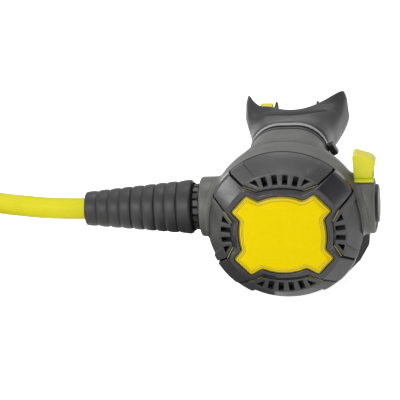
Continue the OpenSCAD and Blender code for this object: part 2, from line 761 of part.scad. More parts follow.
housing();
cover_ring();
x_frame();
purge_button();
purge_spring();
cover_spider();
diaphragm();
diaphragm_plate();
demand_lever();
valve_barrel();
barrel_nut();
barrel_o_ring();
orifice();
orifice_o_ring();
poppet();
poppet_seat();
poppet_spring();
spring_plug();
poppet_nut();
venturi_lever();
venturi_vane();
venturi_o_ring();
lever_nut();
end_cap();
end_cap_o_ring();
exhaust_valve();
exhaust_tee();
mouthpiece();
bite_pads();
mouthpiece_tie();
tie_head();
hose_nut();
hose_stem();
stem_o_ring();
hose_ferrule();
hose_end();
hose_boot();
hose_run();
hose_coil();
coil_ties();
far_ferrule();
far_fitting();
far_o_ring();
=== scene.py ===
import json
import math

import bpy
import numpy as np
from mathutils import Matrix, Vector

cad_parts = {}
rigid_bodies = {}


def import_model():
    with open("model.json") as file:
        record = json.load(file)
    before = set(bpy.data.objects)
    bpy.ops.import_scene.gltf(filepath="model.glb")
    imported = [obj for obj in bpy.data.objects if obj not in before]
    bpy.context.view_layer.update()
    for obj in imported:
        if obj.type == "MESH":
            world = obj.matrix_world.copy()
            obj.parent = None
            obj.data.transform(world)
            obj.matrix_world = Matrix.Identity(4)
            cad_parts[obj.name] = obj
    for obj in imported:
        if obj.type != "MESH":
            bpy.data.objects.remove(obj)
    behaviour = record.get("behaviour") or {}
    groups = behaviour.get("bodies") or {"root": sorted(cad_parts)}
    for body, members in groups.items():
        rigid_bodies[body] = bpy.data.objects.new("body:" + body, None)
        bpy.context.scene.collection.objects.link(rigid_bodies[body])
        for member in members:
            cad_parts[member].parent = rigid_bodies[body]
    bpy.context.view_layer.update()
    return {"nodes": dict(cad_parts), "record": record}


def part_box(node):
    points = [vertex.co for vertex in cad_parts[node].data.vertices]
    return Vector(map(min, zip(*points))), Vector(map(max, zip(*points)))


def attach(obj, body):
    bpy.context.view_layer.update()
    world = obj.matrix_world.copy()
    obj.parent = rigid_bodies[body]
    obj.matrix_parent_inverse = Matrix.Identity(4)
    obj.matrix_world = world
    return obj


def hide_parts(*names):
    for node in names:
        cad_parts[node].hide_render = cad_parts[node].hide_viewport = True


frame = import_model()
nodes = frame["nodes"]
mm = 0.001
lowest = 0.03  # millimetres over the floor, for what is spun round the cover


def middleOf(node):
    low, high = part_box(node)
    return (low + high) / 2 / mm


valveHeight = round(middleOf("valve_barrel").z, 2)  # height of the valve axis, in millimetres
coverHeight = round(middleOf("cover_ring").z, 2)
mouthHeight = valveHeight + 17.5  # height of the mouthpiece's axis


def addObject(name, data):
    thing = bpy.data.objects.new(name, data)
    bpy.context.scene.collection.objects.link(thing)
    return thing


shot = {
    "azimuth": 8.78,  # degrees to the right of straight ahead
    "elevation": 21.64,
    "roll": 4.34,
    "distance": 1.3,
    "target": (-0.04277, -0.0001, 0.04643),
    "span": 0.196,  # width of the view at the target
    "sensor": 36,
    "clip": (0.05, 20),
}


def makeCamera():
    a, e, r = (math.radians(shot[k]) for k in ("azimuth", "elevation", "roll"))
    back = Vector((math.sin(a) * math.cos(e), -math.cos(a) * math.cos(e), math.sin(e)))
    level = Vector((math.cos(a), math.sin(a), 0))
    across = level * math.cos(r) - back.cross(level) * math.sin(r)
    data = bpy.data.cameras.new("shotCamera")
    data.sensor_width = shot["sensor"]
    data.lens = shot["sensor"] * shot["distance"] / shot["span"]
    data.clip_start, data.clip_end = shot["clip"]
    camera = addObject("shotCamera", data)
    camera.matrix_world = Matrix((across, back.cross(across), back)).transposed().to_4x4()
    camera.location = Vector(shot["target"]) + back * shot["distance"]
    bpy.context.scene.camera = camera


makeCamera()
print("camera ready")


# A shell is a grid of points[along, across, xyz] in millimetres. Quads join neighbouring rows and columns.
# The last column joins the first, and so does the last row, unless caps fill both end rows with a flat face.
# The sum of a . (b x c) over the triangles is six times the volume: below zero, every face is turned round.
def shell(points, caps=False, uvSize=(1, 1)):
    along, across = points.shape[:2]
    i, j = np.meshgrid(np.arange(along - 1 if caps else along), np.arange(across), indexing="ij")
    below, right = (i + 1) % along, (j + 1) % across
    quads = np.stack([i * across + j, i * across + right, below * across + right, below * across + j], -1)
    quads = quads.reshape(-1, 4)
    corner = np.stack([np.stack([i, j], -1), np.stack([i, j + 1], -1),
                       np.stack([i + 1, j + 1], -1), np.stack([i + 1, j], -1)], 2)
    uv = corner.reshape(-1, 2) / [along, across] * uvSize
    ends = [np.arange(across)[::-1], (along - 1) * across + np.arange(across)] if caps else []
    flat = points.reshape(-1, 3)
    p, q, r, s = (flat[quads[:, k]] for k in range(4))
    triangles = [(p, q, r), (p, r, s)] + [(flat[end[:1]], flat[end[1:-1]], flat[end[2:]]) for end in ends]
    if sum((a * np.cross(b, c)).sum() for a, b, c in triangles) < 0:
        quads, ends = quads[:, ::-1], [end[::-1] for end in ends]
        uv = uv.reshape(-1, 4, 2)[:, ::-1].reshape(-1, 2)
    return {"points": flat, "quads": quads, "uv": uv, "caps": ends}


# One mesh holds all the shells of a piece: their quads first, shaded smooth, and then their flat caps
def makePiece(name, shells, body, slot, *replaced, finish=None):
    starts = np.cumsum([0] + [len(s["points"]) for s in shells])
    quads = np.concatenate([s["quads"] + start for s, start in zip(shells, starts)])
    ends = [end + start for s, start in zip(shells, starts) for end in s["caps"]]
    uv = np.concatenate([s["uv"] for s in shells] + [np.zeros((len(end), 2)) for end in ends])
    mesh = bpy.data.meshes.new(name)
    mesh.from_pydata(np.concatenate([s["points"] for s in shells]) * mm, [],
                     quads.tolist() + [end.tolist() for end in ends])
    mesh.polygons.foreach_set("use_smooth", [True] * len(quads) + [False] * len(ends))
    mesh.uv_layers.new(name="UVMap").data.foreach_set("uv", uv.ravel())
    piece = addObject(name, mesh)
    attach(piece, body)
    if replaced:
        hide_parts(*replaced)
    piece["finish"] = finish or slot
    return piece


def smoothStep(t):
    t = np.clip(t, 0, 1)
    return t * t * (3 - 2 * t)


# A bell curve: 1 in the middle, and down to 0.37 one width away
def bell(at, middle, width):
    return np.exp(-((at - middle) / width)**2)


def fullTurn(sides):
    return np.linspace(0, 2 * np.pi, sides, endpoint=False)


def lengthOf(path):
    return np.linalg.norm(np.diff(path, axis=0), axis=1).sum()


def heading(degrees):
    a = math.radians(degrees)
    return np.array([math.cos(a), math.sin(a), 0])


# Places an outline's x and height, at a depth y, above one height of the part
def upright(height):
    return lambda x, z, y: np.stack([x, y + 0 * x, height + z], -1)


# Places rows of x and height pairs on the cover, at a depth y
def onCover(rows, y):
    return upright(coverHeight)(rows[..., 0], rows[..., 1], y)


# The corners of a rectangle: from one place to another, and from its inner to its outer side
def oblong(start, stop, inner, outer):
    return [(start, inner), (stop, inner), (stop, outer), (start, outer)]


# A smooth curve through the knots: one natural cubic spline for each coordinate, over the mean chord length
def throughPoints(knots, steps):
    knots = np.array(knots, float)
    shape = knots.shape[1:]
    flat = knots.reshape(len(knots), -1)
    chord = np.linalg.norm(np.diff(knots.reshape(len(knots), -1, shape[-1]), axis=0), axis=2).mean(1)
    t = np.concatenate([[0], np.cumsum(chord)])
    n, h = len(t), np.diff(t)
    system, right = np.eye(n), np.zeros_like(flat)
    for k in range(1, n - 1):
        system[k, k - 1:k + 2] = h[k - 1], 2 * (h[k - 1] + h[k]), h[k]
        right[k] = 6 * ((flat[k + 1] - flat[k]) / h[k] - (flat[k] - flat[k - 1]) / h[k - 1])
    bend = np.linalg.solve(system, right)
    at = np.linspace(0, t[-1], steps)
    k = np.clip(np.searchsorted(t, at, side="right") - 1, 0, n - 2)
    a, b, w = (t[k + 1] - at)[:, None], (at - t[k])[:, None], h[k][:, None]
    curve = (bend[k] * a**3 + bend[k + 1] * b**3) / (6 * w)
    curve += (flat[k] / w - bend[k] * w / 6) * a + (flat[k + 1] / w - bend[k + 1] * w / 6) * b
    return curve.reshape(steps, *shape)


# Each corner of a closed outline becomes a quadratic curve. It starts and ends "reach" away from the corner,
# or just short of the middle of an edge.
def softCorners(corners, reach, steps=5):
    corners = np.array(corners, float)
    reach = np.broadcast_to(np.array(reach, float), len(corners))[:, None]
    before, after = np.roll(corners, 1, 0) - corners, np.roll(corners, -1, 0) - corners
    far = [np.linalg.norm(v, axis=1)[:, None] for v in (before, after)]
    a = corners + before / far[0] * np.minimum(reach, far[0] * 0.49)
    b = corners + after / far[1] * np.minimum(reach, far[1] * 0.49)
    t = np.linspace(0, 1, steps)[None, :, None]
    curve = (1 - t)**2 * a[:, None] + 2 * t * (1 - t) * corners[:, None] + t**2 * b[:, None]
    return curve.reshape(-1, corners.shape[1])


# Four mirrored copies of a quarter outline that runs from the top to the right, in pairs of x and height
def mirrored(quarter):
    q = np.array(quarter, float)
    flip = np.tile([1, -1], q.shape[1] // 2)
    return np.concatenate([q, (q * flip)[-2::-1], -q[1:], (q * -flip)[-2:0:-1]])


# Unit directions into a closed outline, square to the chord between each point's neighbours
def inwards(outline):
    chord = np.roll(outline, -1, 0) - np.roll(outline, 1, 0)
    x, y = outline.T
    turn = np.sign((x * np.roll(y, -1) - np.roll(x, -1) * y).sum())
    return turn * np.stack([-chord[:, 1], chord[:, 0]], 1) / np.linalg.norm(chord, axis=1)[:, None]


# A profile of (x, radius) points carried round the valve axis
def turned(profile, sides):
    x, radius = (np.array(profile, float)[:, k, None] for k in (0, 1))
    turn = fullTurn(sides)
    return shell(np.stack([x + 0 * turn, radius * np.sin(turn), valveHeight + radius * np.cos(turn)], -1))


# A profile of (depth, radius) points carried round the cover's axis
def spun(profile, sides=240, caps=False):
    y, radius = (np.array(profile, float)[:, k, None] for k in (0, 1))
    turn = fullTurn(sides)
    z = np.maximum(coverHeight + radius * np.sin(turn), lowest)
    return shell(np.stack([radius * np.cos(turn), y + 0 * turn, z], -1), caps)


# An outline carried from one depth to another; its edge is a quarter circle at both ends
def plate(outline, low, high, edge, place, steps=5):
    t = np.linspace(0, np.pi / 2, steps)
    depth = np.concatenate([low + edge * (1 - np.cos(t)), high - edge * (1 - np.cos(t[::-1]))])
    inset = np.concatenate([edge * (1 - np.sin(t)), edge * (1 - np.sin(t[::-1]))])
    rows = outline[None] + inset[:, None, None] * inwards(outline)[None]
    return shell(place(rows[..., 0], rows[..., 1], depth[:, None] + 0 * rows[..., 0]), caps=True)


# A box with soft faces: the powers of sine and cosine make the section squarer as the power falls below 1
def softBox(centre, half, power, sides=72):
    u = np.linspace(-np.pi / 2, np.pi / 2, sides // 2 + 1)[1:-1, None]
    v = fullTurn(sides)
    bend = lambda w: np.sign(w) * np.abs(w)**power
    x, y, z = bend(np.cos(u)) * bend(np.cos(v)), bend(np.cos(u)) * bend(np.sin(v)), bend(np.sin(u)) + 0 * v
    return shell(np.array(centre) + np.stack([x, y, z], -1) * half, caps=True)


# A band: a section of (depth, thickness) points, carried round the outside of a loop
def bandShell(loop, section, place, uvSize=(1, 1)):
    rows = loop[None] - section[:, 1, None, None] * inwards(loop)
    return shell(place(rows[..., 0], rows[..., 1], section[:, :1] + 0 * rows[..., 0]), uvSize=uvSize)


# A round tube: every path point carries a circle that stands square to the path, its first direction level
def tubeAlong(path, radius, sides):
    ahead = np.gradient(path, axis=0)
    ahead /= np.linalg.norm(ahead, axis=1)[:, None]
    level = np.cross(ahead, [0, 0, 1])
    level /= np.linalg.norm(level, axis=1)[:, None]
    turn = fullTurn(sides)[:, None]
    ring = level[:, None] * np.cos(turn) + np.cross(level, ahead)[:, None] * np.sin(turn)
    return shell(path[:, None] + radius * ring, caps=True, uvSize=(lengthOf(path) * mm, 1))


hose = {
    "diameter": 10.5,
    "exit": (-99.6, 0, valveHeight),
    # from the fitting, out of the protector, then down to the coil
    "route": [[-80.2, 0, 43], [-90, 0, 43], [-99.6, 0, 43], [-108, 0.6, 42.9], [-117, 2.4, 42.6],
              [-126, 5.4, 42.1], [-134, 9.2, 41.5], [-141.6, 13.6, 40.6], [-148.4, 19.2, 39.3],
              [-154.2, 25.6, 37.4], [-159.4, 32.6, 34.6], [-164.4, 39.7, 31], [-169.9, 46.7, 27.1],
              [-176.4, 53, 23.3], [-183.9, 58, 20.2], [-191.3, 61.85, 18.6]],
    "coilCentre": (-218.3, 5.4),
    "coilStart": 65,  # degrees
    "leastRadius": 50,
    "pitch": 11.2,  # from turn to turn, and from the upper layer to the lower one
    "turns": 2.25,
    "dropOver": 0.5,  # turns
    "lowHeight": 6.15,
    "endLift": 1.15,
    "liftOver": (0.5, 0.35),  # turns at the coil's start and at its end
    "tail": (2, 22),
    "aimAt": 4,  # point of the coil that the lead's curve runs on to
    "steps": {"lead": 260, "coil": 541, "tail": 11},
    "sides": 40,
}


# In along the upper layer of a flat spiral, down in the middle, and out along the lower layer; t counts turns
def coilPoints(t):
    h = hose
    half, drop = h["turns"] / 2, h["dropOver"]
    first, last = h["liftOver"]
    radius = h["leastRadius"] + h["pitch"] * np.abs(half - t)
    angle = np.radians(h["coilStart"] + 360 * t)
    height = h["lowHeight"] + h["pitch"] * (1 - smoothStep((t - half + drop / 2) / drop))
    height += h["endLift"] * (1 - smoothStep(t / first) + smoothStep((t - h["turns"] + last) / last))
    x, y = h["coilCentre"]
    return np.stack([x + radius * np.cos(angle), y + radius * np.sin(angle), height], 1)


# The lead aims a little past the coil's start and ends beside it; the tail runs straight on from the coil
def hosePath():
    h, steps = hose, hose["steps"]
    coil = coilPoints(np.linspace(0, h["turns"], steps["coil"]))
    lead = throughPoints(h["route"] + [list(coil[h["aimAt"]])], steps["lead"])
    stop = np.linalg.norm(lead - coil[0], axis=1).argmin()
    ahead = heading(h["coilStart"] + 360 * h["turns"] + 90)
    tail = coil[-1] + np.linspace(*h["tail"], steps["tail"])[:, None] * ahead
    return np.concatenate([lead[:stop], coil, tail])


strap = {
    "thick": 0.8,
    "width": 10,
    "corner": 5,
    "cornerSteps": 16,
    "edge": 0.25,
    "slack": (1.5, 1.4),  # beside the hose and above it
    "at": (0.56, 0.82),  # turns after the coil's start
}


# A strap round both layers of the coil: a soft rectangle loop, carried across the strap's width
def strapShell(t):
    h, s = hose, strap
    radii = [h["leastRadius"] + h["pitch"] * abs(h["turns"] / 2 - k) for k in (t, t + 1)]
    half = abs(radii[0] - radii[1]) / 2 + h["diameter"] / 2 + s["slack"][0]
    top = h["lowHeight"] + h["pitch"] + h["diameter"] / 2 + s["slack"][1]
    loop = softCorners(oblong(-half, half, 0, top), s["corner"], s["cornerSteps"])
    section = softCorners(oblong(-s["width"] / 2, s["width"] / 2, -s["thick"], 0), s["edge"])
    outward, side = (heading(h["coilStart"] + 360 * t + k) for k in (0, 90))
    centre = np.array([*h["coilCentre"], 0]) + outward * sum(radii) / 2
    place = lambda x, z, w: centre + x[..., None] * outward + w[..., None] * side + z[..., None] * [0, 0, 1]
    return bandShell(loop, section, place, (s["width"] * 2 * mm, 2 * (half * 2 + top) * mm))


straps = makePiece("coilStraps", [strapShell(t) for t in strap["at"]], "hose", "strap_fabric", "coil_ties")
print("coil straps made")


path = hosePath()
hosePiece = makePiece("hose", [tubeAlong(path, hose["diameter"] / 2, hose["sides"])], "hose", "hose_cover",
                      "hose_run", "hose_coil", "hose_end")


boot = {
    "start": -99.6,
    "end": -46.05,
    "radii": (7.9, 13),
    "taper": (52.6, 0.95),  # length and power of the cone
    "body": (1, -1.2, 0.2),  # from the start, to the end, and from point to point
    "beyond": (1, 3),  # how far the outer barrels' arches run past the two ends
    "barrel": (0.15, 0.5, 0.7),  # how far its ends lie below the cone, and the arch's height and power
    # where one barrel meets the next, and how deep the line between them is
    "lines": [(-93.4, 0.2), (-87.5, 0.25), (-81.85, 0.25), (-76.2, 0.6), (-70.35, 0.25), (-64.55, 0.7),
              (-59.2, 0.25), (-53.35, 0.75)],
    "lineWidth": 0.26,
    # both rims, from the end and the radius beside them, then the bore
    "startRim": [(0, -1.3), (0.1, -0.7), (0.45, -0.2)],
    "endRim": [(-0.5, -0.3), (-0.12, -0.9), (0, -1.7)],
    "bore": [(-46.05, 10.6), (-57.5, 10.6), (-57.5, 7.46), (-79.9, 7.46), (-79.9, 5.35), (-99.6, 5.35)],
    "sides": 120,
    "gap": oblong(-46.1, -45.3, 9, 11.9),  # ring painted black as the shade in the gap between the protector and the nut
    "gapSides": 64,
}


# The protector's outside: a cone of short barrels, each a low arch, with a fine line where two of them meet
def bootProfile():
    b = boot
    thin, thick = b["radii"]
    length, power = b["taper"]
    sink, high, archPower = b["barrel"]
    first, last, step = b["body"]
    x = np.arange(b["start"] + first, b["end"] + last, step)
    before, after = b["beyond"]
    joints = np.array([b["start"] - before] + [at for at, _ in b["lines"]] + [b["end"] + after])
    k = np.clip(np.searchsorted(joints, x) - 1, 0, len(joints) - 2)
    s = (x - joints[k]) / (joints[k + 1] - joints[k])
    cone = thin + (thick - thin) * ((x - b["start"]) / length)**power
    radius = cone - sink + high * (4 * s * (1 - s))**archPower
    for at, deep in b["lines"]:
        radius -= deep * bell(x, at, b["lineWidth"])
    return np.concatenate([np.add(b["startRim"], (b["start"], radius[0])), np.stack([x, radius], 1),
                           np.add(b["endRim"], (b["end"], radius[-1])), b["bore"]])


makePiece("bootSleeve", [turned(bootProfile(), boot["sides"])], "hose", "boot_rubber", "hose_boot")
print("hose protector made")


badge = {
    "quarter": [[0, 20], [3.6, 19.75], [7.2, 19], [9.9, 17.9], [10.9, 17.7], [15.9, 20.6], [16.9, 20.4],
                [23.9, 12.8], [24, 11.8], [20.6, 7.8], [20.5, 7], [21.1, 3.5], [21.3, 0]],
    "round": 1,
    # (distance in from the edge, depth): side, rounded edge, bevel, groove, face
    "rim": [(0.8, -24.6), (0.8, -26.78), (0.86, -26.9), (0.98, -26.98), (1.2, -27.06), (1.28, -27),
            (1.36, -26.6), (1.7, -26.5), (2.3, -26.6), (2.4, -27), (2.55, -27.1), (3, -27.16)],
    "middle": -27.45,
    "reach": (22.6, 19.3),  # half sizes of the dome
    "shrink": (0.97, 0.02, 24),  # size of the dome's first and last row, and their number
    "columns": 480,
    "search": (0.66, 1, 56),  # shares of the way to the edge at which its distance is measured
    # darker yellow at the button's side and top edge, and a darker strip in the groove that is painted shade
    "edge": [(0, -24.6), (0, -26.25), (0.1, -26.4), (0.7, -26.82), (0.9, -26.82), (0.9, -24.6)],
    "strip": [(1.3, -26.4), (1.3, -26.82), (2.38, -26.86), (2.38, -26.4)],
    "stem": [(-25.2, 5), (-13, 5), (-12.6, 4.9), (-12.5, 4.6)],
    "stemSides": 48,
}


# Along each direction from the middle, the radius at which a point lies the wanted distance inside the
# outline: the distance to the nearest edge is measured step by step, and the radius is read between two steps
def insetRadii(outline, turn, distances):
    tiny, slack = 1e-9, 1e-6
    away = np.stack([np.cos(turn), np.sin(turn)], 1)
    start, way = outline, np.roll(outline, -1, 0) - outline
    across = away[:, :1] * way[:, 1] - away[:, 1:] * way[:, 0]
    across = np.where(np.abs(across) < tiny, tiny, across)
    reach = (start[:, 0] * way[:, 1] - start[:, 1] * way[:, 0]) / across
    share = (start[:, 0] * away[:, 1:] - start[:, 1] * away[:, :1]) / across
    rim = np.where((share >= -slack) & (share <= 1 + slack) & (reach > 0), reach, 0).max(1)
    radius = rim[:, None] * np.linspace(*badge["search"])
    spot = radius[..., None, None] * away[:, None, None]
    along = np.clip(((spot - start) * way).sum(-1) / (way**2).sum(1), 0, 1)
    clear = np.linalg.norm(spot - start - along[..., None] * way, axis=-1).min(2)
    rows, k = [], np.arange(len(turn))
    for distance in distances:
        last = np.maximum(np.argmax(clear < max(distance, slack), axis=1), 1)
        before, after = clear[k, last - 1], clear[k, last]
        part = (before - distance) / np.maximum(before - after, tiny)
        rows.append((radius[k, last - 1] + part * (radius[k, last] - radius[k, last - 1]))[:, None] * away)
    return np.array(rows)


# One row for each point of the section, at that point's distance inside the button's outline
def badgeRows(section):
    outline = softCorners(mirrored(badge["quarter"]), badge["round"])
    return insetRadii(outline, fullTurn(badge["columns"]), [distance for distance, _ in section])


# The button's face: its rim's rows, then rows that shrink towards the middle. The low dome added to their
# depth is the product of 1 - (x / reach)^2 and 1 - (height / reach)^2.
def faceShell():
    b = badge
    rows, shares = badgeRows(b["rim"]), np.linspace(*b["shrink"])
    rows = np.concatenate([rows, rows[-1] * shares[:, None, None]])
    depth = [depth for _, depth in b["rim"]]
    y = np.concatenate([depth, np.full(len(shares), depth[-1])])[:, None]
    y = y + (b["middle"] - depth[-1]) * np.prod(1 - (rows / b["reach"])**2, axis=2)
    return shell(onCover(rows, y), caps=True)


# A section that follows the button's outline all the way round
def outlineShell(section):
    return shell(onCover(badgeRows(section), np.array(section)[:, 1:]))


makePiece("purgeFace", [faceShell(), spun(badge["stem"], badge["stemSides"], caps=True)], "purge",
          "badge_yellow", "purge_button")
makePiece("purgeEdge", [outlineShell(badge["edge"])], "purge", "badge_yellow", finish="badge_edge")
# the strip in the groove is a darker yellow: painted shade
makePiece("purgeGroove", [outlineShell(badge["strip"])], "purge", "badge_yellow", finish="groove_painted_shade")
print("purge button made")


cross = {
    # matching points of the frame's inner and outer edge, from the top to the right: x and height of each
    "before": [(0, 20.3, 0, 23.2), (3.63, 20.05, 3.94, 23), (7.26, 19.3, 7.38, 22.5), (9.9, 18.2, 9.8, 21.9),
               (10.84, 18, 10.8, 21.75), (13.4, 19.45, 18.32, 24.3), (15.87, 20.87, 25.1, 28.2)],
    "after": [(24.25, 11.72, 33.4, 17.82), (22.6, 9.7, 27.22, 12.43), (20.87, 7.71, 23.9, 6.1),
              (20.8, 6.94, 24, 5.4), (21.4, 3.53, 24.3, 3), (21.6, 0, 24.5, 0)],
    "end": {"inner": ((17.1, 20.6), (24.2, 12.9)), "radius": 38.2, "angles": (42.6, 61), "steps": 9},
    "round": 0.8,
    "flat": -26.5,  # depth of the flat ring round the button
    "crease": 29.4,  # radius where the arms start to slope back
    "slope": 1.03,
    "chamfer": 37.45,  # radius where the outer end is cut off
    "chamferSlope": 1.9,
    # shares of the way out that the crease lies below and the chamfer above, and the least between them
    "creaseBelow": 0.6,
    "chamferAbove": 0.75,
    "between": 0.12,
    "beside": (3, 2.2),  # edge widths that lie inside the crease and outside the chamfer
    "rows": {"edge": 4, "ring": 6, "arm": 10, "chamfer": 4, "under": 8},
    "edge": 0.3,
    "fold": 0.18,
    "side": (1.7, 0.8),  # width and slope of the band that falls away towards the petals
    "narrow": (9, 4),  # that band starts where the frame is less than this wide, and is full this much below
    # underside: radius and depth
    "under": ([18, 24, 29.95, 36.45, 36.95, 38.4], [-24.4, -23.75, -22.55, -13.9, -12.5, -12.5]),
}


# The share of the way from each inner to each outer point at which the circle of that radius is crossed
def crossing(inner, way, radius, lowest, highest):
    a, b, c = (way**2).sum(1), (inner * way).sum(1), (inner**2).sum(1) - radius**2
    share = (-b + np.sqrt(np.maximum(b**2 - a * c, 0))) / a
    return np.clip(share, lowest, highest)


# The cross frame: rows run from the inner wall over the flat ring, down the arms to the chamfer and the outer
# wall, and back along the underside. Its depth depends only on the distance from the cover's middle, apart
# from the rounded edges and the band beside the petals.
def crossShell():
    k, end = cross, cross["end"]
    angle = np.radians(np.linspace(*end["angles"], end["steps"]))
    share = np.linspace(0, 1, end["steps"])[:, None]
    start, stop = np.array(end["inner"])
    tips = np.concatenate([start + (stop - start) * share,
                           end["radius"] * np.stack([np.sin(angle), np.cos(angle)], 1)], 1)
    pairs = softCorners(mirrored(np.concatenate([k["before"], tips, k["after"]])), k["round"], steps=4)
    inner, way = pairs[:, :2], pairs[:, 2:] - pairs[:, :2]
    far = np.linalg.norm(way, axis=1)
    edge, fold = k["edge"] / far, k["fold"] / far
    crease = crossing(inner, way, k["crease"], k["beside"][0] * edge, k["creaseBelow"])
    chamfer = crossing(inner, way, k["chamfer"], k["chamferAbove"], 1 - k["beside"][1] * edge)
    narrow = np.clip((k["narrow"][0] - far) / k["narrow"][1], 0, 1)
    chamfer = chamfer + (1 - k["side"][0] / far - chamfer) * narrow
    crease = np.minimum(crease, chamfer - k["between"])

    def top(radius):
        down = k["slope"] * np.maximum(radius - k["crease"], 0)
        return k["flat"] + down + (k["chamferSlope"] - k["slope"]) * np.maximum(radius - k["chamfer"], 0)

    turn, count = np.linspace(0, np.pi / 2, k["rows"]["edge"]), k["rows"]
    run = lambda a, b, n: [a + (b - a) * t for t in np.linspace(0, 1, n)[1:-1]]
    corner = [edge * (1 - math.cos(t)) for t in turn]
    shares = corner + run(edge, crease - fold, count["ring"])
    shares += [crease - fold, crease, crease + fold] + run(crease + fold, chamfer - fold, count["arm"])
    shares += [chamfer - fold, chamfer, chamfer + fold] + run(chamfer + fold, 1 - edge, count["chamfer"])
    shares = np.array(shares + [1 - c for c in corner[::-1]])
    lifts = [k["edge"] * (1 - math.sin(t)) for t in turn]
    lifts = lifts + [0] * (len(shares) - 2 * len(lifts)) + lifts[::-1]
    rows = inner + shares[..., None] * way
    depth = top(np.linalg.norm(rows, axis=2)) + np.array(lifts)[:, None]
    depth = depth + narrow * far * k["side"][1] * np.maximum(shares - chamfer, 0)
    below = inner + np.linspace(1, 0, count["under"])[:, None, None] * way
    under = np.interp(np.linalg.norm(below, axis=2), *k["under"])
    return shell(onCover(np.concatenate([rows, below]), np.concatenate([depth, under])))


makePiece("crossFrame", [crossShell()], "second_stage", "frame_plastic", "x_frame")


# beads painted pale yellow as the button's reflection in the gaps beside the arms
lip = {
    # the two stretches beside each arm, x and height
    "runs": ([(11.2, 22.3), (14.6, 23.5), (18, 24.75)], [(24.5, 6.3), (26, 9), (27.6, 12)]),
    "radius": 0.24,
    "depth": -25.05,
    "steps": 16,
    "sides": 8,
}


# A thin round bead in the gap between the frame and each petal, a painted reflection of the yellow button
def reflectionBeadShells():
    turn = fullTurn(lip["sides"])
    shells = []
    for run in lip["runs"]:
        x, z = throughPoints(run, lip["steps"]).T[..., None]
        for across, up in ((1, 1), (-1, 1), (1, -1), (-1, -1)):
            points = upright(coverHeight)(across * x + lip["radius"] * np.cos(turn), up * z + 0 * turn,
                                          lip["depth"] + lip["radius"] * np.sin(turn))
            shells.append(shell(points, caps=True))
    return shells


makePiece("innerLip", reflectionBeadShells(), "second_stage", "badge_yellow", finish="reflection_yellow")
print("cross frame made")


bowl = {
    "front": -12.95,
    "radius": 38.07,  # beside the cover, and further back the case's own
    "caseRadius": 37.6,
    "narrowing": (-2.5, 6),  # depth from which the one becomes the other, and over how much
    "shoulder": -1.5,
    "back": 19.5,
    "backRadius": 22,
    # its front face, where the lip's middle lies behind that face, and the way back along the inside
    "skirt": {"front": [(0, -0.5), (0, -0.1)], "first": 0.15, "lipAt": 0.5, "lip": 0.1, "lipWidth": 0.4,
              "proud": 0.02, "to": 6, "rows": 24, "inside": [(6, 33), (-2, 36.5)]},
    # a ring in the joint between the cover and the case, painted black as the shade in the gap
    "seam": oblong(-13.4, -13, 37, 38.03),
    "boss": {"radius": 14.74, "fillet": 2.8, "front": -15.6, "proud": 0.03, "leastX": 20, "endGap": 1.6,
             "depth": 3, "inner": 0.9, "rows": 14, "columns": 160, "ends": (-42.1, 43.6)},
}


# Radius of the case's outside at a depth: straight beside the cover, then a quarter of an ellipse to the back
def caseRadius(y):
    b = bowl
    start, over = b["narrowing"]
    lean = np.arcsin(np.clip((y - b["shoulder"]) / (b["back"] - b["shoulder"]), 0, 1))
    curved = b["backRadius"] + (b["caseRadius"] - b["backRadius"]) * np.cos(lean)
    return curved + (b["radius"] - b["caseRadius"]) * (1 - smoothStep((y - start) / over))


# A thin shell on the case's outside, with a low rounded lip at its front edge
def skirtShell():
    front, s = bowl["front"], bowl["skirt"]
    lipAt = front + s["lipAt"]
    y = np.concatenate([[front + s["first"]], np.linspace(lipAt, s["to"], s["rows"])])
    outer = caseRadius(y) + s["proud"] + s["lip"] * bell(y, lipAt, s["lipWidth"])
    face = np.add(s["front"], (front, bowl["radius"]))
    return spun(np.concatenate([face, np.stack([y, outer], 1), s["inside"]]))


# Where a boss leaves the case: a hollow quadratic curve, all the way round, from its foot on the case over
# the corner below the boss's surface to its tip along the boss
def collarShell(side):
    c = bowl["boss"]
    turn = fullTurn(c["columns"])
    away = np.stack([np.sin(turn), np.cos(turn)], 1)

    def onCase(radius):
        y, z = np.maximum(radius * away[:, 0], c["front"]), valveHeight + radius * away[:, 1]
        x = np.sqrt(np.maximum((caseRadius(y) + c["proud"])**2 - (z - coverHeight)**2, c["leastX"]**2))
        return np.stack([x, y, z], 1)

    foot, corner = onCase(c["radius"] + c["fillet"]), onCase(c["radius"])
    end = np.minimum(corner[:, 0] + c["fillet"], abs(c["ends"][side > 0]) - c["endGap"])
    tip = np.stack([end, corner[:, 1], corner[:, 2]], 1)
    inner = c["radius"] * c["inner"] * away
    deep = np.stack([corner[:, 0] - c["depth"], inner[:, 0], valveHeight + inner[:, 1]], 1)
    t = np.linspace(0, 1, c["rows"])[:, None, None]
    rows = (1 - t)**2 * foot + 2 * t * (1 - t) * corner + t**2 * tip
    return shell(np.concatenate([rows, deep[None]]) * [side, 1, 1])


makePiece("caseSkirt", [skirtShell()] + [collarShell(side) for side in (-1, 1)], "second_stage",
          "case_plastic", finish="case_back")
makePiece("coverSeam", [spun(bowl["seam"])], "second_stage", "seal_rubber", finish="shadow_gap")
print("case skirt made")


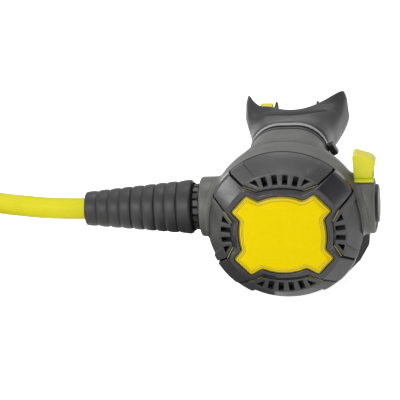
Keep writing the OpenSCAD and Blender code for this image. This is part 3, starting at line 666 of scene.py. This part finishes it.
mouth = {
    "sweep": 14,  # how far the shield's sides reach towards the diver
    "lowPower": 2.2,  # of the oval below
    "sides": 200,
    "rows": 150,
    # half width, upper height, y, lower height, sweep share, squaring power, level, lift of the ends;
    # what a row leaves out is 0
    "neck": [[19.4, 15.4, 19.9], [19.4, 15.4, 22], [18.7, 14.7, 22.4], [18.7, 14.7, 25.6], [19.4, 15.4, 26]],
    "shield": [[19.6, 15.3, 29, 15.2, 0, 2.6], [19.8, 14.8, 32, 15, 0.05, 2.5],
               [21, 12.6, 40, 15, 0.25, 2.6, 0.4, 0.6], [23, 10.1, 47, 15.5, 0.6, 2.8, 1.1, 2.5],
               [24.6, 8.3, 50.8, 16.4, 0.85, 3.4, 2, 4.6], [25.5, 8.5, 53.4, 17.2, 0.97, 4.6, 3, 6.4],
               [25.6, 8.6, 54, 17.4, 1, 5, 3.1, 6.6], [24.8, 8, 54.7, 16.6, 1, 5, 3.1, 6.4],
               [22.4, 6.6, 53.2, 14.4, 0.85, 3.2, 2.6, 4.2], [13.6, 6.6, 50.2, 8.6, 0.35, 2.3, 0.6, 0.4],
               [12.6, 6.4, 47, 7.4, 0.2, 2.3, 0.3], [13.4, 8.6, 40, 8.6, 0.05, 2.3]],
    "socket": [[14.8, 10.8, 33.4], [17.4, 13.4, 33.3], [17.4, 13.4, 19.9]],
    # folds across the top: their middle's depth, height, width and reach to the sides
    "folds": [(49.4, -2.6, 0.8, 16), (52, 0.6, 0.9, 18)],
    "foldBow": 0.012,
    "foldsAbove": 3,
    "outside": 0.55,  # share of the shield's rows that lie on its outside
    "changes": (38, 12),  # depth from which the changes below grow, and over how much
    "bulge": {"height": 64.5, "share": 0.035, "width": 5},
    "tip": {"height": 71, "share": 0.025, "over": 4},
    "spike": {"high": 1.5, "x": -24.6, "width": 1.5},
    "lean": {"middle": 0.55, "slope": 0.045, "dip": 2.5, "x": -19, "width": 4.6, "from": 1, "over": 6},
}


# One ring for each station: a squared oval above and a plain oval below, or a slot shape with half circles
# at its sides where the power is 0. The sides sweep back, and the upper ends lift, by the square of the way
# across.
def mouthRings(stations):
    s = np.array([[*row, 0, 0, 0, 0, 0][:8] for row in stations], float)[:, :, None]
    halfWidth, high, y, low, share, power, level, lift = (s[:, k] for k in range(8))
    turn = 2 * np.pi * (np.arange(mouth["sides"]) + 0.5) / mouth["sides"]
    c, n = np.cos(turn), np.sin(turn)
    p = np.where(n > 0, np.maximum(power, 2), mouth["lowPower"])
    reach = (np.abs(c)**p + np.abs(n)**p)**(-1 / p)
    x = np.where(power == 0, np.sign(c) * (halfWidth - high) + high * c, halfWidth * c * reach)
    z = np.where(power == 0, high * n, np.where(n > 0, high, low) * n * reach)
    across = (x / halfWidth)**2
    return np.stack([x, y + mouth["sweep"] * share * across + 0 * z,
                     mouthHeight + level + z + np.where(n > 0, lift * across, 0)], -1)


# Rings in equal steps along the straight lines from each ring to the next
def between(rings, steps=3):
    share = np.linspace(0, 1, steps, endpoint=False)[None, :, None, None]
    return (rings[:-1, None] * (1 - share) + rings[1:, None] * share).reshape(-1, *rings.shape[1:])


# The shield's rings are joined by smooth curves, and folds and uneven wings are added as bell curves and
# smooth steps. The right wing stands a little higher, and the left one dips before its tip.
def mouthShell():
    m = mouth
    shield = throughPoints(mouthRings(m["shield"]), m["rows"])
    x, y, z = (shield[..., k] for k in range(3))
    outside = np.arange(m["rows"])[:, None] < m["rows"] * m["outside"]
    for middle, high, width, reach in m["folds"]:
        line = bell(y - m["foldBow"] * x**2, middle, width)
        z += np.where(outside & (z > mouthHeight + m["foldsAbove"]), high * line * np.exp(-(x / reach)**4), 0)
    start, over = m["changes"]
    top = m["sides"] // 4
    near = smoothStep((y[:, top] - start) / over)[:, None]
    lean, bulge, tip, spike = (m[k] for k in ("lean", "bulge", "tip", "spike"))
    rise = lean["middle"] + lean["slope"] * x - lean["dip"] * bell(x, lean["x"], lean["width"])
    rise = rise + spike["high"] * bell(x, spike["x"], spike["width"])
    wide = 1 + near * bulge["share"] * bell(z, bulge["height"], bulge["width"])
    narrow = 1 - near * tip["share"] * smoothStep((z - tip["height"]) / tip["over"])
    z += near * rise * smoothStep((z - mouthHeight - lean["from"]) / lean["over"])
    x *= wide * narrow
    inside = between(mouthRings(m["shield"][-1:] + m["socket"] + m["neck"][:1]))[1:]
    return shell(np.concatenate([between(mouthRings(m["neck"])), shield, inside]))


tab = {
    "back": 62.9,
    "x": 10.5,
    "half": 1.3,
    "edge": 0.6,
    "outline": [[0, -8], [8.4, -8], [8.4, 10.8], [6.6, 9.4], [0, 5.6]],
    "round": 0.8,
    "thin": {"from": 7.5, "over": 4, "share": 0.8},
    # soft boxes: x and y of the middle, height above the mouthpiece's axis, half sizes and power
    "webs": [(10.5, 58, 0, (1, 7, 3), 0.3), (12, 66.9, 0, (1, 2, 3), 0.2)],
    "pads": [(15.5, 67.2, 1, (3.4, 4.3, 9.1), 0.17)],
}


# The tabs that are bitten on: plates that thin towards their top
def tabShells():
    t, thin = tab, tab["thin"]
    outline = softCorners(t["outline"], t["round"])
    share = lambda z: 1 - thin["share"] * smoothStep((z - thin["from"]) / thin["over"])
    return [plate(outline, -t["half"], t["half"], t["edge"], lambda y, z, x: np.stack(
        [side * t["x"] + x * share(z), t["back"] + y, mouthHeight + z], -1)) for side in (-1, 1)]


# Each soft box stands on both sides
def boxPairs(boxes):
    return [softBox((side * x, y, mouthHeight + rise), half, power)
            for x, y, rise, half, power in boxes for side in (-1, 1)]


makePiece("mouthShield", [mouthShell()] + tabShells() + boxPairs(tab["webs"]), "second_stage", "mouth_rubber",
          "mouthpiece")
makePiece("bitePads", boxPairs(tab["pads"]), "second_stage", "bite_yellow", "bite_pads")
print("mouthpiece made")


tie = {
    "neck": (19.5, 15.5),
    "thick": 0.9,
    # front, back, how far it stands proud of the neck, and the rounding of its inner and outer corners
    "band": [(22.6, 25.2, 0.35, 0.3, 0.3)],
    "cuff": [(18, 20.1, 0.15, 0.05, 0.35)],
    # near-black bands in the grooves beside the tie and the cuff: painted shade
    "shadeBands": [(17.3, 18.1, 0, 0.05, 0.35), (20, 22.7, 0, 0.05, 0.35), (25.1, 26.1, 0.1, 0.05, 0.35)],
    "head": {"centre": (21.6, 23.6, 62.9), "half": (1.6, 2.4, 3.1), "power": 0.2, "lean": -28},
}


# A slot-shaped loop: half circles at its sides, joined by straight runs above and below
def slotLoop(halfWidth, halfHeight, steps=40, runSteps=13):
    turn = np.linspace(-np.pi / 2, np.pi / 2, steps)
    right = np.stack([halfWidth - halfHeight + halfHeight * np.cos(turn), halfHeight * np.sin(turn)], 1)
    run = np.linspace(1, -1, runSteps)[1:-1, None] * [halfWidth - halfHeight, 0]
    return np.concatenate([right, run + [0, halfHeight], -right, -run - [0, halfHeight]])


# Bands round the neck: the tie, the mouthpiece's cuff with its rounded lip, and painted shade beside them
def neckBands(name):
    shells = []
    for front, back, proud, inner, outer in tie[name]:
        outer = min(outer, (back - front) / 3)
        section = softCorners(oblong(front, back, -tie["thick"], 0), [inner, inner, outer, outer])
        shells.append(bandShell(slotLoop(*[w + proud for w in tie["neck"]]), section, upright(mouthHeight)))
    return shells


# The tie's head is a soft box turned about y
def tieHeadShells():
    head = tie["head"]
    box = softBox((0, 0, 0), head["half"], head["power"])
    lean = math.radians(head["lean"])
    turn = np.array([[math.cos(lean), 0, math.sin(lean)], [0, 1, 0], [-math.sin(lean), 0, math.cos(lean)]])
    return [{**box, "points": box["points"] @ turn.T + head["centre"]}]


makePiece("mouthCuff", neckBands("cuff"), "second_stage", "mouth_rubber")
makePiece("cuffSeams", neckBands("shadeBands"), "second_stage", "seal_rubber", finish="shadow_gap")
makePiece("tieBand", neckBands("band"), "second_stage", "tie_nylon", "mouthpiece_tie")
makePiece("tieHead", tieHeadShells(), "second_stage", "inner_plastic", "tie_head")
print("mouthpiece tie made")


blend = {
    "neck": (19.5, 15.45),
    "from": -8,
    "to": 17.6,
    "angles": (-14, 194),
    "sink": 0.12,  # how far below the case's surface the piece runs where the case stands prouder
    "soft": (3.2, -2, 9),  # size of the hollow curve, depth from which it grows, and over how much
    "highest": 16,
    "widen": (0.05, 14),  # share that the neck grows by, and over how many millimetres
    "shrink": (2, 3, 8),  # how much the neck shrinks inside the case, up to which depth, and over how much
    "inner": 0.85,
    "rows": 60,
    "columns": 160,
}


# The neck flows into the bowl. For each depth and each angle round the neck, the reach is a soft maximum of
# the neck's own reach and of the way out of the bowl's circle at that depth, so both meet in a hollow curve.
# The neck's section is two half circles joined by straight runs.
def neckBlendShell():
    b = blend
    y = np.linspace(b["from"], b["to"], b["rows"])[:, None]
    angle = np.radians(np.linspace(*b["angles"], b["columns"]))[None]
    rise = mouthHeight - coverHeight
    c, n = np.cos(angle), np.sin(angle)
    wayOut = -rise * n + np.sqrt(np.maximum(caseRadius(y)**2 - (rise * c)**2, 0)) - b["sink"]
    halfWidth, halfHeight = b["neck"]
    run = halfWidth - halfHeight
    own = np.abs(c) * run + np.sqrt(np.maximum(halfHeight**2 - (run * n)**2, 0))
    own = np.where(own * np.abs(c) < run, halfHeight / np.maximum(np.abs(n), 0.01), own)
    (share, over), (less, until, shrinkOver) = b["widen"], b["shrink"]
    own = own * (1 + share * c**2 * smoothStep((b["to"] - y) / over))
    own = own - less * smoothStep((until - y) / shrinkOver)
    size, start, softOver = b["soft"]
    part = np.clip(0.5 + 0.5 * (wayOut - own) / size, 0, 1)
    hollow = size * smoothStep((y - start) / softOver)
    reach = own * (1 - part) + wayOut * part + hollow * part * (1 - part)
    outer = upright(mouthHeight)(reach * c, np.minimum(reach * n, b["highest"]), y)
    inner = upright(mouthHeight)(b["inner"] * own * c, b["inner"] * own * n, y)
    return shell(np.concatenate([outer, inner[:, ::-1]], 1), caps=True)


makePiece("neckBlend", [neckBlendShell()], "second_stage", "case_plastic", finish="case_back")
print("neck made")


lever = {
    "ring": [(39.5, 9.46), (39.5, 11.7), (39.8, 12), (41.6, 12), (41.9, 11.7), (41.9, 9.46)],
    "sides": 96,
    # the finger's outline: x, height above the valve axis
    "outline": [[34.2, 11.2], [33.5, 14.7], [33.2, 26], [34.2, 27.4], [42.6, 24.6], [44.3, 22.3],
                [42.6, 14.9], [41.8, 11.2]],
    "round": [0.2, 1, 1, 1.6, 1.6, 1, 1, 0.2],
    "depths": (-4.2, 4.2),
    "edge": 0.35,
    "ridges": 6,
    "ridgeDepth": 0.18,
    "ridgePoints": 60,
    "foot": {"x": (34, 43.2), "radii": (14.85, 16), "angles": (-14, 27), "round": 0.5},
}


# The finger is a plate whose right edge, between its corners 5 and 6, carries fine cross ridges: a cosine
# wave pressed inwards. The foot lies on the boss: a section in angle and radius, carried along the axis.
def leverShells():
    v, foot = lever, lever["foot"]
    corners = np.array(v["outline"], float)
    t = np.linspace(0, 1, v["ridgePoints"])[1:-1, None]
    edge = corners[5] * (1 - t) + corners[6] * t
    edge[:, 0] -= v["ridgeDepth"] * (0.5 - 0.5 * np.cos(2 * np.pi * v["ridges"] * t[:, 0]))
    reach = np.concatenate([v["round"][:6], np.zeros(len(edge)), v["round"][6:]])
    outline = softCorners(np.concatenate([corners[:6], edge, corners[6:]]), np.maximum(reach, 0.01), steps=6)
    finger = plate(outline, *v["depths"], v["edge"], upright(valveHeight), steps=7)
    low, high = foot["radii"]
    angles = [np.radians(angle) * low for angle in foot["angles"]]
    along, radius = softCorners(oblong(*angles, low, high), foot["round"]).T
    section = np.stack([-radius * np.sin(along / low), valveHeight + radius * np.cos(along / low)], 1)
    base = plate(section, *foot["x"], v["edge"], lambda y, z, x: np.stack([x, y, z], -1))
    return [turned(v["ring"], v["sides"]), finger, base]


makePiece("leverFinger", leverShells(), "venturi", "lever_yellow", "venturi_lever")
# a black ring of painted shade in the gap between the protector and the nut
makePiece("bootGap", [turned(boot["gap"], boot["gapSides"])], "hose", "seal_rubber", finish="shadow_gap")
print("venturi lever made")


def newMaterial(name):
    material = bpy.data.materials.new(name)
    material.use_nodes = True
    return material, material.node_tree, material.node_tree.nodes["Principled BSDF"]


def setSockets(node, values):
    for key, value in values.items():
        node.inputs[key].default_value = value


# One number is a grey
def opaque(color, share=1):
    return (*(np.broadcast_to(color, 3) * share).tolist(), 1)


# Values and links are set by socket name or number, after the node's own settings
def addNode(tree, kind, links=None, **settings):
    node = tree.nodes.new("ShaderNode" + kind)
    for key, value in settings.items():
        setattr(node, key, value)
    for key, source in (links or {}).items():
        if isinstance(source, bpy.types.NodeSocket):
            tree.links.new(source, node.inputs[key])
        else:
            node.inputs[key].default_value = source
    return node


def calc(tree, operation, a, b=0.5):
    return addNode(tree, "Math", {0: a, 1: b}, operation=operation).outputs[0]


def remap(tree, value, low=0, high=1, newLow=0, newHigh=1):
    return addNode(tree, "MapRange", {0: value, 1: low, 2: high, 3: newLow, 4: newHigh}).outputs[0]


def noise(tree, place, scale, detail, rough=0.5):
    return addNode(tree, "TexNoise", {"Vector": place, "Scale": scale, "Detail": detail,
                                      "Roughness": rough}).outputs[0]


def mixColors(tree, share, a, b, blend="MIX"):
    return addNode(tree, "Mix", {0: share, 6: a, 7: b}, data_type="RGBA", blend_type=blend).outputs[2]


# A colour is given as a tuple, and everything else is a plain number
def newGroup(name, inputs):
    group = bpy.data.node_groups.new(name, "ShaderNodeTree")
    for title, value in inputs.items():
        kind = "NodeSocketColor" if isinstance(value, tuple) else "NodeSocketFloat"
        group.interface.new_socket(name=title, in_out="INPUT", socket_type=kind).default_value = value
    return group, group.nodes.new("NodeGroupInput").outputs[:len(inputs)]


def giveOut(group, results):
    for title in results:
        kind = "NodeSocketColor" if title == "Color" else "NodeSocketFloat"
        group.interface.new_socket(name=title, in_out="OUTPUT", socket_type=kind)
    out = group.nodes.new("NodeGroupOutput")
    for title, source in results.items():
        group.links.new(source, out.inputs[title])
    return group


# Moulded plastic and rubber: a fine grain for the bump, slow patches that shift the colour and the gloss
def mouldedGroup():
    group, (color, shade, grainScale, patchScale, rough, spread) = newGroup("mouldedSurface", {
        "Color": (0.5, 0.5, 0.5, 1), "Shade": (0.4, 0.4, 0.4, 1), "Grain": 2500, "Patch": 90,
        "Roughness": 0.5, "Spread": 0.1})
    place = addNode(group, "TexCoord").outputs["Object"]
    grain = noise(group, place, grainScale, detail=3, rough=0.6)
    cloud = remap(group, noise(group, place, patchScale, detail=4, rough=0.55), low=0.35, high=0.68)
    tone = mixColors(group, cloud, color, shade)
    speck = remap(group, grain, low=0.35, high=0.65, newLow=0.96, newHigh=1.04)
    shift = calc(group, "MULTIPLY", calc(group, "SUBTRACT", cloud, 0.5), spread)
    return giveOut(group, {"Color": mixColors(group, 1.0, tone, speck, "MULTIPLY"),
                           "Roughness": calc(group, "ADD", rough, shift), "Height": grain})


toolMarks = {"stretch": 0.04, "patches": 160, "ringRough": 0.16, "patchRough": 0.12}


# Turned or drawn metal: noise stretched round the valve axis gives fine tool rings, with soft tarnish patches
def metalGroup():
    marks = toolMarks
    group, (color, dull, ringScale, rough) = newGroup("workedMetal", {
        "Color": (0.7, 0.7, 0.7, 1), "Tarnish": (0.5, 0.5, 0.5, 1), "Rings": 3000, "Roughness": 0.3})
    place = addNode(group, "TexCoord").outputs["Object"]
    stretch = (1, marks["stretch"], marks["stretch"])
    drawn = addNode(group, "Mapping", {"Vector": place, "Scale": stretch}).outputs[0]
    rings = noise(group, drawn, ringScale, detail=2)
    cloud = remap(group, noise(group, place, marks["patches"], detail=4), low=0.5, high=0.75)
    for part, share in ((rings, marks["ringRough"]), (cloud, marks["patchRough"])):
        rough = calc(group, "ADD", rough, calc(group, "MULTIPLY", part, share))
    tone = mixColors(group, cloud, color, dull)
    return giveOut(group, {"Color": tone, "Roughness": rough, "Height": rings})


# Woven or ribbed cover: two sine waves across the piece's own UV, in metres along and round
def ribGroup():
    group, counts = newGroup("wovenRibs", {"Along": 800, "Across": 60})
    ways = addNode(group, "SeparateXYZ", {0: addNode(group, "TexCoord").outputs["UV"]}).outputs
    waves = [calc(group, "SINE", calc(group, "MULTIPLY", calc(group, "MULTIPLY", way, count), 2 * math.pi))
             for way, count in zip(ways, counts)]
    return giveOut(group, {"Height": calc(group, "MULTIPLY", calc(group, "ADD", *waves), 0.5)})


moulded, metal, ribs = mouldedGroup(), metalGroup(), ribGroup()


# one kind of plastic or rubber a line: its colour (one number is a grey, None is the record's own), the share
# of it that its patches have, grains a metre, roughness and its spread, and the bump's depth in millimetres
finishes = {
    "case_plastic": (0.041, 0.86, 2600, 0.46, 0.1, 0.035),
    "case_back": ((0.082, 0.082, 0.079), 0.86, 2600, 0.5, 0.1, 0.035),
    "frame_plastic": ((0.024, 0.022, 0.025), 0.9, 3000, 0.27, 0.06, 0.006),
    "cap_plastic": (0.026, 0.9, 3000, 0.42, 0.06, 0.01),
    "inner_plastic": ((0.02, 0.02, 0.021), 0.85, 2500, 0.45, 0.08, 0.02),
    "nut_plastic": (0.014, 0.85, 2500, 0.42, 0.1, 0.02),
    "shadow_gap": (0.004, 0.9, 2500, 0.9, 0.05, 0.01),
    "badge_yellow": ((0.83, 0.635, 0.0), 0.97, 1500, 0.36, 0.06, 0.006),
    "badge_edge": ((0.24, 0.19, 0.0), 0.9, 1500, 0.45, 0.06, 0.006),
    "groove_painted_shade": ((0.66, 0.5, 0.0), 0.95, 1500, 0.4, 0.06, 0.006),
    "reflection_yellow": ((0.34, 0.33, 0.06), 0.9, 1500, 0.45, 0.06, 0.006),
    "lever_yellow": ((0.8, 0.78, 0.008), 0.93, 1500, 0.32, 0.08, 0.01),
    "bite_yellow": ((0.78, 0.72, 0.01), 0.94, 1600, 0.5, 0.08, 0.015),
    "tee_rubber": ((0.05, 0.05, 0.052), 0.85, 2200, 0.6, 0.1, 0.03),
    "mouth_rubber": (0.02, 0.88, 1800, 0.46, 0.12, 0.02),
    "boot_rubber": (0.019, 0.88, 2000, 0.5, 0.1, 0.03),
    "hose_cover": ((0.66, 0.6, 0.01), 0.95, 1500, 0.48, 0.08, 0.02),
    "tie_nylon": (0.28, 0.9, 1500, 0.35, 0.08, 0.01),
    "seal_rubber": (None, 0.9, 2500, 0.4, 0.06, 0.01),
    "silicone": (None, 0.92, 1500, 0.4, 0.06, 0.01),
    "strap_fabric": (None, 0.8, 4000, 0.8, 0.05, 0.02),
}
metals = {"plated_brass": (0.25, 0.006), "steel": (0.22, 0.006)}  # roughness, bump
tarnish = 0.8  # the share of a metal's colour that its patches have
patches = {"badge_yellow": 220, "usual": 90}  # patches a metre
weaves = {"hose_cover": (900, 0, 0.05), "strap_fabric": (700, 420, 0.25)}  # ribs a metre, ribs round, depth
ownSockets = {
    "shadow_gap": {"Specular IOR Level": 0.1},
    "badge_yellow": {"Specular IOR Level": 0.05},
    "cap_plastic": {"Specular IOR Level": 0.25},
    "mouth_rubber": {"Specular IOR Level": 0.38},
    "boot_rubber": {"Specular IOR Level": 0.38},
    "hose_cover": {"Specular IOR Level": 0.22},
    "lever_yellow": {"Subsurface Weight": 0.6, "Subsurface Scale": 0.004, "Transmission Weight": 0.15},
    "bite_yellow": {"Subsurface Weight": 0.3, "Subsurface Scale": 0.003},
}
ownFinish = {"housing": "case_back", "end_cap": "cap_plastic"}


def makeFinish(slot, color=None):
    material, tree, shader = newMaterial(slot)
    if slot in metals:
        rough, bump = metals[slot]
        surface = addNode(tree, "Group", {"Color": opaque(color), "Tarnish": opaque(color, tarnish),
                                          "Roughness": rough}, node_tree=metal)
        shader.inputs["Metallic"].default_value = 1
    else:
        own, shade, grain, rough, spread, bump = finishes[slot]
        color = own or color
        surface = addNode(tree, "Group", {
            "Color": opaque(color), "Shade": opaque(color, shade), "Grain": grain, "Roughness": rough,
            "Patch": patches.get(slot, patches["usual"]), "Spread": spread}, node_tree=moulded)
    tree.links.new(surface.outputs["Color"], shader.inputs["Base Color"])
    tree.links.new(surface.outputs["Roughness"], shader.inputs["Roughness"])
    relief = {"Height": surface.outputs["Height"], "Strength": 1.0, "Distance": bump * mm}
    if slot in weaves:
        along, across, deep = weaves[slot]
        weave = addNode(tree, "Group", {"Along": along, "Across": across}, node_tree=ribs)
        under = {"Height": weave.outputs["Height"], "Strength": 1.0, "Distance": deep * mm}
        relief["Normal"] = addNode(tree, "Bump", under).outputs[0]
    tree.links.new(addNode(tree, "Bump", relief).outputs[0], shader.inputs["Normal"])
    setSockets(shader, ownSockets.get(slot, {}))
    return material


materialOf = {m["slot"]: makeFinish(m["slot"], m["base_color"]) for m in frame["record"]["materials"]}
materialOf.update({name: makeFinish(name) for name in finishes if name not in materialOf})
for part in frame["record"]["subparts"]:
    mesh = nodes[part["node"]].data
    mesh.materials.clear()
    mesh.materials.append(materialOf[ownFinish.get(part["node"], part["material_slot"])])
for piece in bpy.data.objects:
    if "finish" in piece:
        piece.data.materials.append(materialOf[piece["finish"]])
print("finishes made")


# Rounds a CAD piece's edges: its loose triangles are joined first, then each sharp edge gets a small curve
def softEdges(node, width, angle=35):
    weld = nodes[node].modifiers.new("weld", "WELD")
    weld.merge_threshold = 0.002 * mm
    bevel = nodes[node].modifiers.new("bevel", "BEVEL")
    bevel.width = width * mm
    bevel.segments = 2
    bevel.limit_method = "ANGLE"
    bevel.angle_limit = math.radians(angle)
    bevel.harden_normals = True


edges = {"cover_ring": 0.14, "housing": 0.35, "exhaust_tee": 0.4, "end_cap": 0.2, "hose_nut": 0.2}
for node, width in edges.items():
    softEdges(node, width)


studio = {
    "worldWhite": 0.24,
    "floor": 0.8,
    "floorHalf": 6,
    "floorGlow": 0.86,  # added for the camera, gloss and glass only
    "aim": (0, 0, 0.04),  # where lamps and cards point
    # place, size, power
    "lamps": {
        "keySoftbox": ((-0.45, -0.95, 0.5), (0.5, 0.5), 8),
        "leftSoftbox": ((-0.9, -0.1, 0.4), (0.12, 0.35), 1.6),
        "rightSoftbox": ((0.8, -0.25, 0.2), (0.15, 0.5), 0.9),
        "topSoftbox": ((0, 0.25, 0.9), (0.8, 0.4), 4),
    },
    # cards that only reflections see, glowing grey as painted reflections and shade: place, size, grey
    "reflectionCards": {
        "rightFlag": ((0.55, -0.3, 0.42), (0.5, 0.5), 0.01),
        "underCard": ((-0.01, 0, 0.0006), (0.13, 0.13), 0.16),
    },
}


def whiteForView(tree):
    rays = addNode(tree, "LightPath")
    seen = calc(tree, "MAXIMUM", rays.outputs["Is Camera Ray"], rays.outputs["Is Glossy Ray"])
    return calc(tree, "MAXIMUM", seen, rays.outputs["Is Transmission Ray"])


def aimed(place):
    return (Vector(studio["aim"]) - Vector(place)).to_track_quat("-Z", "Y")


# A flat rectangle of the stage, half as wide and high as given each way from its middle
def stageSheet(name, material, w, h, turn=lambda corner: corner):
    mesh = bpy.data.meshes.new(name)
    mesh.from_pydata([turn(Vector(c)) for c in ((-w, -h, 0), (w, -h, 0), (w, h, 0), (-w, h, 0))],
                     [], [(0, 1, 2, 3)])
    mesh.materials.append(material)
    sheet = addObject(name, mesh)
    return sheet


def makeStage():
    material, tree, shader = newMaterial("paleFloor")
    setSockets(shader, {"Base Color": opaque(studio["floor"]), "Roughness": 0.9, "Emission Color": opaque(1)})
    glow = calc(tree, "MULTIPLY", whiteForView(tree), studio["floorGlow"])
    tree.links.new(glow, shader.inputs["Emission Strength"])
    stageSheet("floor", material, studio["floorHalf"], studio["floorHalf"])
    world = bpy.data.worlds.new("studio")
    world.use_nodes = True
    tree = world.node_tree
    background = tree.nodes["Background"]
    background.inputs[0].default_value = opaque(1)
    lit = remap(tree, whiteForView(tree), newLow=studio["worldWhite"])
    tree.links.new(lit, background.inputs[1])
    bpy.context.scene.world = world


# Cards seen only in gloss: painted dark reflections on the glossy arms, and painted shade under the object
def makeReflectionCards():
    for name, (place, size, grey) in studio["reflectionCards"].items():
        material, _, shader = newMaterial(name)
        setSockets(shader, {"Base Color": opaque(0), "Emission Color": opaque(grey), "Emission Strength": 1})
        card = stageSheet(name, material, size[0] / 2, size[1] / 2,
                          lambda corner: aimed(place) @ corner + Vector(place))
        card.visible_camera = card.visible_diffuse = card.visible_shadow = card.visible_transmission = False


def makeLamps():
    for name, (place, size, power) in studio["lamps"].items():
        data = bpy.data.lights.new(name, "AREA")
        data.shape = "RECTANGLE"
        data.size, data.size_y = size
        data.energy = power
        lamp = addObject(name, data)
        lamp.location = place
        lamp.rotation_euler = aimed(place).to_euler()


makeStage()
makeReflectionCards()
makeLamps()
bpy.context.scene.view_settings.view_transform = "Standard"
print("studio ready")

bpy.context.view_layer.update()
